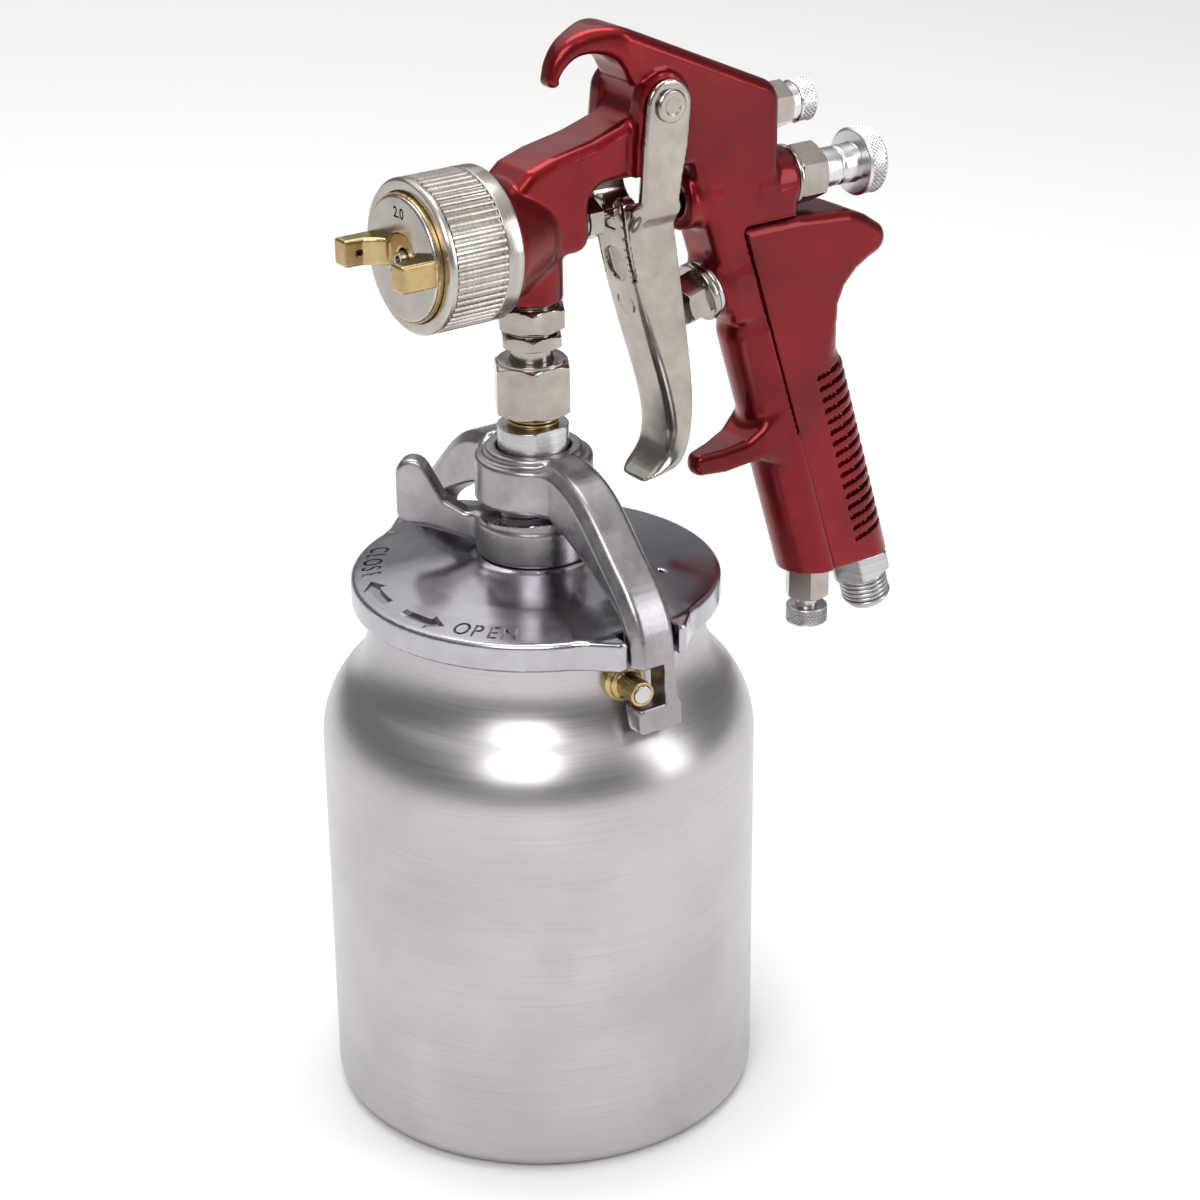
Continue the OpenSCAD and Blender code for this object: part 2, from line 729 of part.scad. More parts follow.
module air_stem() {
  color("gainsboro") translate([knob_x, 0, 0]) about_z([[0, 104], [1.3, 104], [1.3, 108.6], [1.9, 108.6],
    [1.9, 126], [1, 128], [0, 128]]);
}

module air_knob() {
  color("gainsboro") translate([knob_x, 0, 0]) difference() {
    about_z([[0, 101.2], [3, 101.6], [5.2, 102.3], [5.55, 102.6], [5.55, 106.8], [5.2, 107.2],
      [2.9, 107.2], [2.9, 109.8], [0, 109.8]]);
    rod_z(103.9, 108.7, 1.3 + run);
    rod_z(108.6, 111, 1.9 + run);
  }
}

module air_inlet() {
  color("silver") difference() {
    union() {
      on_inlet_axis() translate([0, 0, -8.6]) cylinder(r = 5.4, h = 10);
      // hexagon, cut level where it meets the handle
      difference() {
        on_inlet_axis() translate([0, 0, -3]) intersection() {
          cylinder(r = 8.6, h = 9.9, $fn = 6);
          cylinder(r = 8.3, h = 10);
        }
        translate([0, -20, handle_z]) cube([150, 40, 20]);
      }
      on_inlet_axis() translate([0, 0, 6.8]) cylinder(r = inlet_r, h = 9.7);
    }
    on_inlet_axis() translate([0, 0, -10]) cylinder(r = 3.2, h = 40);
    on_inlet_axis() translate([0, 0, 14.5]) cylinder(r1 = 3.2, r2 = 5.2, h = 2.1);
  }
}

cup();
cup_studs();
stud_pins();
lid();
lid_gasket();
post();
post_nut();
stem();
siphon_tube();
cam_lever();
yoke();
coupling_nut();
fluid_inlet();
inlet_locknut();
gun_body();
grip_back();
fluid_nozzle();
nozzle_gasket();
air_baffle();
cap_ring();
air_cap();
needle_packing();
packing_gland();
fluid_needle();
needle_spring();
spring_seat();
fluid_bush();
fluid_knob();
trigger();
trigger_pin();
pin_clip();
valve_body();
valve_washer();
valve_stem();
valve_spring();
fan_bush();
fan_stem();
fan_knob();
air_bush();
air_stem();
air_knob();
air_inlet();
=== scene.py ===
"""Suction-feed spray gun on a one litre cup: the visible model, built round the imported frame."""

import math

import bmesh
import bpy
import numpy as np
from mathutils import Matrix, Vector


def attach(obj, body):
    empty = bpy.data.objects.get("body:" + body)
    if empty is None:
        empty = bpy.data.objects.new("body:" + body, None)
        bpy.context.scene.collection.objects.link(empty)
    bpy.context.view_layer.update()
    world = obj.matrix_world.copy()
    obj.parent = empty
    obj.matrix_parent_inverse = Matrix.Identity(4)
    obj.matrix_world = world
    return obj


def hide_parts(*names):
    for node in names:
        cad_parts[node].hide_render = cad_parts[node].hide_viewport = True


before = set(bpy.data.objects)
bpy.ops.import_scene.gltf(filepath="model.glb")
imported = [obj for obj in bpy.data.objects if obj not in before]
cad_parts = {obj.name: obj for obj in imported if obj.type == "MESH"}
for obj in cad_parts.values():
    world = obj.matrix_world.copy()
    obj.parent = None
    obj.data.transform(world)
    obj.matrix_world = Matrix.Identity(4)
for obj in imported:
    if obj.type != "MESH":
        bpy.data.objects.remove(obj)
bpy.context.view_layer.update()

bl_info = {
    "name": "Suction Spray Gun",
    "version": (1, 0, 0),
    "blender": (4, 5, 0),
    "location": "3D View > Sidebar > Spray Gun",
    "description": "Builds a suction-feed spray gun with its one litre cup",
    "category": "Object",
}

MM = 0.001
AXIS_Z = 225.6                  # nozzle axis height
FAN_Z = 244.2                   # fan control axis height
LEAN = 0.299                    # how far the handle leans back for each unit it goes down
RAKE = math.atan(LEAN)
HALF_THICK = 8                  # half the thickness of the red casting
HANDLE_Z = 119.0                # lower end of the handle
FRONT = (64.7, 191.2)           # a point on the axis of the handle's rounded front
FRONT_LOW = FRONT[0] + (FRONT[1] - HANDLE_Z) * LEAN
BACK_LOW = FRONT_LOW + 16.5     # axis of the rounded back, at the lower end
KNOB_X = FRONT_LOW + 0.1        # air control axis
PIVOT = (32.2, 252.9)           # trigger pivot
SEAM_TOP = (59.7, 217.3)        # upper corner of the seam round the rear grip
SEAM_LOW = (89.2, 119.0)        # where the seam leaves the lower end
VALVE_AT = (52.6, 201.8)        # seat of the air valve


# ---- sizes and colours that a user would change ----

class SprayGunSizes(bpy.types.PropertyGroup):
    edge_radius: bpy.props.FloatProperty(
        name="Casting edge radius", description="Rounding along the edges of the red casting",
        default=0.0028, min=0.0005, max=0.004, unit="LENGTH")
    ring_flutes: bpy.props.IntProperty(
        name="Ring flutes", description="Number of axial ridges round the retaining ring",
        default=60, min=24, max=90)
    thread_pitch: bpy.props.FloatProperty(
        name="Inlet thread pitch", description="Pitch of the quarter inch air inlet thread",
        default=0.001337, min=0.0008, max=0.002, unit="LENGTH")
    knurl_pitch: bpy.props.FloatProperty(
        name="Knurl pitch", description="Spacing of the diamonds on the control knobs",
        default=0.00115, min=0.0006, max=0.002, unit="LENGTH")


class SprayGunColours(bpy.types.PropertyGroup):
    lacquer_light: bpy.props.FloatVectorProperty(
        name="Lacquer, thin", description="Red of the lacquer where the coat is thin",
        default=(0.225, 0.005, 0.008), size=3, min=0, max=1, subtype="COLOR")
    lacquer_deep: bpy.props.FloatVectorProperty(
        name="Lacquer, deep", description="Red of the lacquer where the coat is thick",
        default=(0.12, 0.002, 0.004), size=3, min=0, max=1, subtype="COLOR")
    floor: bpy.props.FloatVectorProperty(
        name="Floor", description="Colour of the studio floor",
        default=(0.86, 0.86, 0.86), size=3, min=0, max=1, subtype="COLOR")


# ---- solids described by distance, in millimetres ----

def arc(c, r, a0, a1, n=8):
    """Points of an arc about c, angles in degrees."""
    return [(c[0] + r * math.cos(math.radians(a0 + (a1 - a0) * i / n)),
             c[1] + r * math.sin(math.radians(a0 + (a1 - a0) * i / n))) for i in range(n + 1)]


def inside(u, v, points):
    """Signed distance from (u, v) to a closed outline, negative inside."""
    best = np.full(np.broadcast(u, v).shape, 1e9, np.float32)
    odd = np.zeros(best.shape, bool)
    for (au, av), (bu, bv) in zip(points, points[1:] + points[:1]):
        eu, ev = bu - au, bv - av
        if eu * eu + ev * ev < 1e-12:
            continue
        t = np.clip(((u - au) * eu + (v - av) * ev) / (eu * eu + ev * ev), 0, 1)
        best = np.minimum(best, (u - au - eu * t) ** 2 + (v - av - ev * t) ** 2)
        if av != bv:
            odd ^= ((av > v) != (bv > v)) & (u < (bu - au) * (v - av) / (bv - av) + au)
    return np.where(odd, -1, 1) * np.sqrt(best)


def meet(a, b, r=0.0):
    """What a and b share, with the edge between them rounded to r."""
    if np.isscalar(r) and r <= 0:
        return np.maximum(a, b)
    return np.minimum(np.maximum(a, b), -r) + np.sqrt(np.maximum(a + r, 0) ** 2 + np.maximum(b + r, 0) ** 2)


def join(a, b, r=0.0):
    """a and b together, with a fillet of radius r between them."""
    if r <= 0:
        return np.minimum(a, b)
    return np.maximum(np.minimum(a, b), r) - np.sqrt(np.maximum(r - a, 0) ** 2 + np.maximum(r - b, 0) ** 2)


def cut(a, b, r=0.0):
    """a with b taken away, the new edge rounded to r."""
    return meet(a, -b, r)


def flowing(points, rounds=2):
    """The open line with its corners cut off again and again, so that it runs smoothly."""
    for _ in range(rounds):
        cuts = [points[0]]
        for (au, av), (bu, bv) in zip(points, points[1:]):
            cuts += [(au * 0.75 + bu * 0.25, av * 0.75 + bv * 0.25),
                     (au * 0.25 + bu * 0.75, av * 0.25 + bv * 0.75)]
        points = cuts + [points[-1]]
    return points


def rod(along, across, other, low, high, radius, r=0.0):
    """Round bar of that radius between low and high, its ends' edges rounded to r."""
    return meet(np.sqrt(across ** 2 + other ** 2) - radius, np.maximum(low - along, along - high), r)


def smooth(t):
    t = np.clip(t, 0, 1)
    return t * t * (3 - 2 * t)


def skin(name, shape, low, high, step):
    """Closed quad mesh of the solid that shape(x, y, z) describes, its points drawn onto the surface."""
    ax = [np.arange(a, b + step, step, dtype=np.float32) for a, b in zip(low, high)]
    f = np.array(np.broadcast_to(
        shape(ax[0][:, None, None], ax[1][None, :, None], ax[2][None, None, :]),
        [len(a) for a in ax]), dtype=np.float32)
    s = f < 0
    n = [k - 1 for k in f.shape]
    total = np.zeros(n, np.int8)
    steps = [(i, j, k) for i in (0, 1) for j in (0, 1) for k in (0, 1)]
    for i, j, k in steps:
        total += s[i:n[0] + i, j:n[1] + j, k:n[2] + k]
    cells = np.argwhere((total > 0) & (total < 8))
    index = np.full(n, -1, np.int64)
    index[tuple(cells.T)] = np.arange(len(cells))
    point = np.zeros((len(cells), 3))
    count = np.zeros(len(cells))
    for a in steps:
        for axis in range(3):
            if a[axis]:
                continue
            b = tuple(a[m] + (m == axis) for m in range(3))
            fa = f[tuple((cells + a).T)]
            fb = f[tuple((cells + b).T)]
            hit = (fa < 0) != (fb < 0)
            t = fa[hit] / (fa[hit] - fb[hit])
            p = np.tile(np.array(a, float), (hit.sum(), 1))
            p[:, axis] += t
            point[hit] += p
            count[hit] += 1
    point = np.array(low) + (cells + point / count[:, None]) * step
    for _ in range(3):
        value = shape(*point.T)
        h = 0.04
        grad = np.stack([(shape(*(point + h * e).T) - shape(*(point - h * e).T)) / (2 * h)
                         for e in np.eye(3)], 1)
        move = -(value / np.maximum((grad ** 2).sum(1), 0.3))[:, None] * grad
        point = point + np.clip(move, -0.5 * step, 0.5 * step)
    quads = []
    for axis in range(3):
        one, two = [(1, 2), (2, 0), (0, 1)][axis]
        lo = [slice(1, -1)] * 3
        hi = [slice(1, -1)] * 3
        lo[axis], hi[axis] = slice(0, -1), slice(1, None)
        at = np.argwhere(s[tuple(lo)] != s[tuple(hi)])
        at[:, one] += 1
        at[:, two] += 1
        loops = []
        for d1, d2 in ((-1, -1), (0, -1), (0, 0), (-1, 0)):
            c = at.copy()
            c[:, one] += d1
            c[:, two] += d2
            loops.append(index[tuple(c.T)])
        q = np.stack(loops, 1)
        out = s[tuple(at.T)]
        q[~out] = q[~out][:, ::-1]
        quads.append(q)
    quads = np.concatenate(quads)
    mesh = bpy.data.meshes.new(name)
    mesh.from_pydata((point * MM).tolist(), [], quads.tolist())
    mesh.shade_smooth()
    mesh.set_sharp_from_angle(angle=math.radians(38))
    return mesh


# ---- turned pieces and nuts ----

def eased(points, radius, closed):
    """The outline with its corners rounded."""
    out = []
    for i, p in enumerate(points):
        a, b = points[i - 1], points[(i + 1) % len(points)]
        if not closed and i in (0, len(points) - 1):
            out.append(p)
            continue
        p, a, b = Vector(p), Vector(a), Vector(b)
        u, v = a - p, b - p
        if u.length < 1e-6 or v.length < 1e-6 or u.normalized().dot(v.normalized()) < -0.97:
            out.append(tuple(p))
            continue
        c = min(radius, 0.42 * u.length, 0.42 * v.length)
        p0, p2 = p + u.normalized() * c, p + v.normalized() * c
        for t in (0, 0.25, 0.5, 0.75, 1):
            out.append(tuple(p0 * (1 - t) ** 2 + p * 2 * t * (1 - t) + p2 * t * t))
    return out


def turned(name, outline, hexes=(), ease=0.25, steps=96):
    """Mesh of (radius, height) points turned about +Z. hexes are (low, high, corner radius)."""
    closed = outline[0][0] > 0 and outline[-1][0] > 0
    pts = eased(outline, ease, closed) if ease else list(outline)
    if hexes:
        fine = []
        for p, q in zip(pts, pts[1:] + pts[:1] if closed else pts[1:]):
            k = 1
            if any(lo - 0.01 <= min(p[1], q[1]) and max(p[1], q[1]) <= hi + 0.01 for lo, hi, _ in hexes):
                k = max(1, min(12, int(math.hypot(q[0] - p[0], q[1] - p[1]) / 0.3)))
            fine += [(p[0] + (q[0] - p[0]) * i / k, p[1] + (q[1] - p[1]) * i / k) for i in range(k)]
        pts = fine if closed else fine + [pts[-1]]
    bm = bmesh.new()
    rings = []
    for r, z in pts:
        if r < 1e-6:
            rings.append([bm.verts.new((0, 0, z * MM))])
            continue
        ring = []
        for i in range(steps):
            a = 2 * math.pi * i / steps
            q = r
            for lo, hi, corner in hexes:
                if lo - 0.01 <= z <= hi + 0.01:
                    flat = corner * math.cos(math.pi / 6)
                    q = min(q, flat / math.cos(a % (math.pi / 3) - math.pi / 6))
            ring.append(bm.verts.new((q * math.cos(a) * MM, q * math.sin(a) * MM, z * MM)))
        rings.append(ring)
    for a, b in zip(rings, rings[1:] + rings[:1] if closed else rings[1:]):
        for i in range(steps):
            j = (i + 1) % steps
            if len(a) == 1 and len(b) == 1:
                continue
            if len(a) == 1:
                bm.faces.new((a[0], b[j], b[i]))
            elif len(b) == 1:
                bm.faces.new((a[i], a[j], b[0]))
            else:
                bm.faces.new((a[i], a[j], b[j], b[i]))
    bmesh.ops.recalc_face_normals(bm, faces=bm.faces)
    mesh = bpy.data.meshes.new(name)
    bm.to_mesh(mesh)
    bm.free()
    mesh.shade_smooth()
    mesh.set_sharp_from_angle(angle=math.radians(24))
    return mesh


def nut_outline(low, high, corner, bore):
    """Outline of a nut with both faces chamfered."""
    face = corner * 0.845
    drop = 0.62 * (corner - face)
    return [(bore, low), (face, low), (corner + 0.05, low + drop), (corner + 0.05, high - drop),
            (face, high), (bore, high)]


def ring_outline(low, high, radius, bore):
    return [(bore, low), (radius, low), (radius, high), (bore, high)]


def to_x(z=AXIS_Z):
    """Local +Z becomes +X, on an axis at height z."""
    return Matrix.Translation((0, 0, z * MM)) @ Matrix.Rotation(math.pi / 2, 4, "Y")


def to_z(x=0.0):
    return Matrix.Translation((x * MM, 0, 0))


def on_valve():
    return (Matrix.Translation((VALVE_AT[0] * MM, 0, VALVE_AT[1] * MM))
            @ Matrix.Rotation(math.pi / 2 - RAKE, 4, "Y"))


def on_inlet():
    return Matrix.Translation((BACK_LOW * MM, 0, HANDLE_Z * MM)) @ Matrix.Rotation(math.pi - RAKE, 4, "Y")


def on_pivot(y=0.0):
    return (Matrix.Translation((PIVOT[0] * MM, y * MM, PIVOT[1] * MM))
            @ Matrix.Rotation(math.pi / 2, 4, "X"))


def at_stud(side):
    return (Matrix.Translation((0, 0, 127 * MM)) @ Matrix.Rotation(math.radians(-6 + 90 * side), 4, "Z")
            @ Matrix.Rotation(math.pi / 2, 4, "Y"))


def merged(name, meshes):
    """One mesh of several."""
    bm = bmesh.new()
    for m in meshes:
        bm.from_mesh(m)
    mesh = bpy.data.meshes.new(name)
    bm.to_mesh(mesh)
    bm.free()
    for m in meshes:
        bpy.data.meshes.remove(m)
    return mesh


def piece(name, mesh, material, body, nodes, place=None):
    """A finished piece: its place is in its mesh, it rides on a body and stands for CAD nodes."""
    if place is not None:
        mesh.transform(place)
    mesh.name = name
    if material is not None:
        mesh.materials.clear()
        mesh.materials.append(material)
    obj = bpy.data.objects.new(name, mesh)
    bpy.context.scene.collection.objects.link(obj)
    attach(obj, body)
    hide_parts(*nodes)
    return obj


def dress(node, material):
    """A CAD node that keeps its shape gets its material."""
    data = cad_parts[node].data
    data.materials.clear()
    data.materials.append(material)


# ---- what repeats, as Geometry Nodes ----

def knurl_tree():
    """Diamond knurl round a turned knob."""
    tree = bpy.data.node_groups.new("Diamond knurl", "GeometryNodeTree")
    face = tree.interface
    face.new_socket("Geometry", in_out="INPUT", socket_type="NodeSocketGeometry")
    for label, default in (("Radius", 0.008), ("Low", 0.0), ("High", 0.005), ("Tooth", 0.0006),
                           ("Height", 0.0004)):
        face.new_socket(label, in_out="INPUT", socket_type="NodeSocketFloat").default_value = default
    for label, default in (("Count", 40), ("Rows", 6)):
        face.new_socket(label, in_out="INPUT", socket_type="NodeSocketInt").default_value = default
    face.new_socket("Material", in_out="INPUT", socket_type="NodeSocketMaterial")
    face.new_socket("Geometry", in_out="OUTPUT", socket_type="NodeSocketGeometry")
    nodes, links = tree.nodes, tree.links
    given = nodes.new("NodeGroupInput")
    given.label = "Knob and its sizes"
    grid = nodes.new("GeometryNodeMeshGrid")
    grid.label = "One point a tooth"
    grid.inputs["Size X"].default_value = 1
    grid.inputs["Size Y"].default_value = 1
    where = nodes.new("GeometryNodeInputPosition")
    where.label = "Place in the grid"
    split = nodes.new("ShaderNodeSeparateXYZ")
    split.label = "Round and along"
    last = nodes.new("ShaderNodeMath")
    last.label = "Count less one"
    last.operation = "SUBTRACT"
    last.inputs[1].default_value = 1
    along = nodes.new("ShaderNodeMath")
    along.label = "0 to 1 along the band"
    along.operation = "ADD"
    along.inputs[1].default_value = 0.5
    around = nodes.new("ShaderNodeMath")
    around.label = "0 to 1 round the band"
    around.operation = "ADD"
    around.inputs[1].default_value = 0.5
    rows = nodes.new("ShaderNodeMath")
    rows.label = "Rows less one"
    rows.operation = "SUBTRACT"
    rows.inputs[1].default_value = 1
    row = nodes.new("ShaderNodeMath")
    row.label = "Row number"
    row.operation = "MULTIPLY"
    row_r = nodes.new("ShaderNodeMath")
    row_r.label = "Whole row"
    row_r.operation = "ROUND"
    half = nodes.new("ShaderNodeMath")
    half.label = "Half a tooth on odd rows"
    half.operation = "PINGPONG"
    half.inputs[1].default_value = 1
    half_b = nodes.new("ShaderNodeMath")
    half_b.label = "Half step"
    half_b.operation = "MULTIPLY"
    half_b.inputs[1].default_value = 0.5
    step = nodes.new("ShaderNodeMath")
    step.label = "Tooth number"
    step.operation = "MULTIPLY_ADD"
    turn = nodes.new("ShaderNodeMath")
    turn.label = "Share of a turn"
    turn.operation = "DIVIDE"
    angle = nodes.new("ShaderNodeMath")
    angle.label = "Angle"
    angle.operation = "MULTIPLY"
    angle.inputs[1].default_value = 2 * math.pi
    cosine = nodes.new("ShaderNodeMath")
    cosine.label = "Cosine"
    cosine.operation = "COSINE"
    sine = nodes.new("ShaderNodeMath")
    sine.label = "Sine"
    sine.operation = "SINE"
    out = nodes.new("ShaderNodeCombineXYZ")
    out.label = "Outward"
    scaled = nodes.new("ShaderNodeVectorMath")
    scaled.label = "Out to the knob's skin"
    scaled.operation = "SCALE"
    height = nodes.new("ShaderNodeMapRange")
    height.label = "Height on the knob"
    lift = nodes.new("ShaderNodeCombineXYZ")
    lift.label = "Along the axis"
    total = nodes.new("ShaderNodeVectorMath")
    total.label = "Tooth place"
    total.operation = "ADD"
    put = nodes.new("GeometryNodeSetPosition")
    put.label = "Wrap the grid round"
    cone = nodes.new("GeometryNodeMeshCone")
    cone.label = "One four sided tooth"
    cone.inputs["Vertices"].default_value = 4
    cone.inputs["Radius Top"].default_value = 0
    stand = nodes.new("FunctionNodeAlignRotationToVector")
    stand.label = "Tooth points outward"
    stand.axis = "Z"
    twist = nodes.new("FunctionNodeAlignRotationToVector")
    twist.label = "A corner along the axis"
    twist.axis = "X"
    twist.pivot_axis = "Z"
    twist.inputs["Vector"].default_value = (0, 0, 1)
    spread = nodes.new("GeometryNodeInstanceOnPoints")
    spread.label = "Teeth"
    both = nodes.new("GeometryNodeJoinGeometry")
    both.label = "Knob and teeth"
    real = nodes.new("GeometryNodeRealizeInstances")
    real.label = "Real teeth"
    paint = nodes.new("GeometryNodeSetMaterial")
    paint.label = "Metal"
    result = nodes.new("NodeGroupOutput")
    links.new(given.outputs["Count"], grid.inputs["Vertices X"])
    links.new(given.outputs["Rows"], grid.inputs["Vertices Y"])
    links.new(where.outputs[0], split.inputs[0])
    links.new(split.outputs["X"], around.inputs[0])
    links.new(split.outputs["Y"], along.inputs[0])
    links.new(given.outputs["Count"], last.inputs[0])
    links.new(given.outputs["Rows"], rows.inputs[0])
    links.new(along.outputs[0], row.inputs[0])
    links.new(rows.outputs[0], row.inputs[1])
    links.new(row.outputs[0], row_r.inputs[0])
    links.new(row_r.outputs[0], half.inputs[0])
    links.new(half.outputs[0], half_b.inputs[0])
    links.new(around.outputs[0], step.inputs[0])
    links.new(last.outputs[0], step.inputs[1])
    links.new(half_b.outputs[0], step.inputs[2])
    links.new(step.outputs[0], turn.inputs[0])
    links.new(given.outputs["Count"], turn.inputs[1])
    links.new(turn.outputs[0], angle.inputs[0])
    links.new(angle.outputs[0], cosine.inputs[0])
    links.new(angle.outputs[0], sine.inputs[0])
    links.new(cosine.outputs[0], out.inputs["X"])
    links.new(sine.outputs[0], out.inputs["Y"])
    links.new(out.outputs[0], scaled.inputs[0])
    links.new(given.outputs["Radius"], scaled.inputs["Scale"])
    links.new(along.outputs[0], height.inputs["Value"])
    links.new(given.outputs["Low"], height.inputs["To Min"])
    links.new(given.outputs["High"], height.inputs["To Max"])
    links.new(height.outputs[0], lift.inputs["Z"])
    links.new(scaled.outputs[0], total.inputs[0])
    links.new(lift.outputs[0], total.inputs[1])
    links.new(grid.outputs["Mesh"], put.inputs["Geometry"])
    links.new(total.outputs[0], put.inputs["Position"])
    links.new(given.outputs["Tooth"], cone.inputs["Radius Bottom"])
    links.new(given.outputs["Height"], cone.inputs["Depth"])
    links.new(out.outputs[0], stand.inputs["Vector"])
    links.new(stand.outputs[0], twist.inputs["Rotation"])
    links.new(put.outputs[0], spread.inputs["Points"])
    links.new(cone.outputs["Mesh"], spread.inputs["Instance"])
    links.new(twist.outputs[0], spread.inputs["Rotation"])
    links.new(given.outputs["Geometry"], both.inputs[0])
    links.new(spread.outputs[0], both.inputs[0])
    links.new(both.outputs[0], real.inputs[0])
    links.new(real.outputs[0], paint.inputs["Geometry"])
    links.new(given.outputs["Material"], paint.inputs["Material"])
    links.new(paint.outputs[0], result.inputs[0])
    return lay_out(tree)


def flute_tree():
    """Axial ridges round the retaining ring."""
    tree = bpy.data.node_groups.new("Axial flutes", "GeometryNodeTree")
    face = tree.interface
    face.new_socket("Geometry", in_out="INPUT", socket_type="NodeSocketGeometry")
    for label, default in (("Radius", 0.018), ("Middle", 0.0), ("Length", 0.01), ("Ridge", 0.0006)):
        face.new_socket(label, in_out="INPUT", socket_type="NodeSocketFloat").default_value = default
    face.new_socket("Count", in_out="INPUT", socket_type="NodeSocketInt").default_value = 60
    face.new_socket("Material", in_out="INPUT", socket_type="NodeSocketMaterial")
    face.new_socket("Geometry", in_out="OUTPUT", socket_type="NodeSocketGeometry")
    nodes, links = tree.nodes, tree.links
    given = nodes.new("NodeGroupInput")
    given.label = "Ring and its sizes"
    circle = nodes.new("GeometryNodeMeshCircle")
    circle.label = "One point a ridge"
    lift = nodes.new("ShaderNodeCombineXYZ")
    lift.label = "Middle of the fluted band"
    put = nodes.new("GeometryNodeSetPosition")
    put.label = "Move to the band"
    bar = nodes.new("GeometryNodeMeshCylinder")
    bar.label = "One round ridge"
    bar.inputs["Vertices"].default_value = 12
    bar.inputs["Side Segments"].default_value = 1
    spread = nodes.new("GeometryNodeInstanceOnPoints")
    spread.label = "Ridges"
    both = nodes.new("GeometryNodeJoinGeometry")
    both.label = "Ring and ridges"
    real = nodes.new("GeometryNodeRealizeInstances")
    real.label = "Real ridges"
    paint = nodes.new("GeometryNodeSetMaterial")
    paint.label = "Nickel"
    result = nodes.new("NodeGroupOutput")
    links.new(given.outputs["Count"], circle.inputs["Vertices"])
    links.new(given.outputs["Radius"], circle.inputs["Radius"])
    links.new(given.outputs["Middle"], lift.inputs["Z"])
    links.new(circle.outputs[0], put.inputs["Geometry"])
    links.new(lift.outputs[0], put.inputs["Offset"])
    links.new(given.outputs["Ridge"], bar.inputs["Radius"])
    links.new(given.outputs["Length"], bar.inputs["Depth"])
    links.new(put.outputs[0], spread.inputs["Points"])
    links.new(bar.outputs["Mesh"], spread.inputs["Instance"])
    links.new(given.outputs["Geometry"], both.inputs[0])
    links.new(spread.outputs[0], both.inputs[0])
    links.new(both.outputs[0], real.inputs[0])
    links.new(real.outputs[0], paint.inputs["Geometry"])
    links.new(given.outputs["Material"], paint.inputs["Material"])
    links.new(paint.outputs[0], result.inputs[0])
    return lay_out(tree)


def thread_tree():
    """Screw thread: a ridge swept along a helix."""
    tree = bpy.data.node_groups.new("Screw thread", "GeometryNodeTree")
    face = tree.interface
    face.new_socket("Geometry", in_out="INPUT", socket_type="NodeSocketGeometry")
    for label, default in (("Radius", 0.006), ("Low", 0.0), ("Length", 0.009), ("Turns", 6.0),
                           ("Ridge", 0.0006)):
        face.new_socket(label, in_out="INPUT", socket_type="NodeSocketFloat").default_value = default
    face.new_socket("Material", in_out="INPUT", socket_type="NodeSocketMaterial")
    face.new_socket("Geometry", in_out="OUTPUT", socket_type="NodeSocketGeometry")
    nodes, links = tree.nodes, tree.links
    given = nodes.new("NodeGroupInput")
    given.label = "Shank and its sizes"
    helix = nodes.new("GeometryNodeCurveSpiral")
    helix.label = "Helix"
    helix.inputs["Resolution"].default_value = 40
    lift = nodes.new("ShaderNodeCombineXYZ")
    lift.label = "Start of the thread"
    put = nodes.new("GeometryNodeSetPosition")
    put.label = "Move to the start"
    ridge = nodes.new("GeometryNodeCurvePrimitiveCircle")
    ridge.label = "Ridge section"
    ridge.inputs["Resolution"].default_value = 4
    sweep = nodes.new("GeometryNodeCurveToMesh")
    sweep.label = "Sweep the ridge"
    sweep.inputs["Fill Caps"].default_value = True
    both = nodes.new("GeometryNodeJoinGeometry")
    both.label = "Shank and thread"
    real = nodes.new("GeometryNodeRealizeInstances")
    real.label = "Real thread"
    paint = nodes.new("GeometryNodeSetMaterial")
    paint.label = "Metal"
    result = nodes.new("NodeGroupOutput")
    links.new(given.outputs["Turns"], helix.inputs["Rotations"])
    links.new(given.outputs["Radius"], helix.inputs["Start Radius"])
    links.new(given.outputs["Radius"], helix.inputs["End Radius"])
    links.new(given.outputs["Length"], helix.inputs["Height"])
    links.new(given.outputs["Low"], lift.inputs["Z"])
    links.new(helix.outputs[0], put.inputs["Geometry"])
    links.new(lift.outputs[0], put.inputs["Offset"])
    links.new(given.outputs["Ridge"], ridge.inputs["Radius"])
    links.new(put.outputs[0], sweep.inputs["Curve"])
    links.new(ridge.outputs[0], sweep.inputs["Profile Curve"])
    links.new(given.outputs["Geometry"], both.inputs[0])
    links.new(sweep.outputs[0], both.inputs[0])
    links.new(both.outputs[0], real.inputs[0])
    links.new(real.outputs[0], paint.inputs["Geometry"])
    links.new(given.outputs["Material"], paint.inputs["Material"])
    links.new(paint.outputs[0], result.inputs[0])
    return lay_out(tree)


def lay_out(tree):
    """Gives the nodes of a tree their places."""
    for i, node in enumerate(n for n in tree.nodes if n.type != "FRAME"):
        node.location = (240 * (i // 4), -220 * (i % 4))
    return tree


def grown(mesh, tree, values, material):
    """The mesh with a tree's repeated detail on it, as a plain mesh."""
    obj = bpy.data.objects.new("growing", mesh)
    bpy.context.scene.collection.objects.link(obj)
    modifier = obj.modifiers.new("Detail", "NODES")
    modifier.node_group = tree
    for item in tree.interface.items_tree:
        if item.item_type == "SOCKET" and item.in_out == "INPUT":
            if item.name in values:
                modifier[item.identifier] = values[item.name]
            elif item.name == "Material":
                modifier[item.identifier] = material
    bpy.context.view_layer.update()
    result = bpy.data.meshes.new_from_object(obj.evaluated_get(bpy.context.evaluated_depsgraph_get()))
    obj.modifiers.remove(modifier)
    bpy.data.objects.remove(obj)
    return result


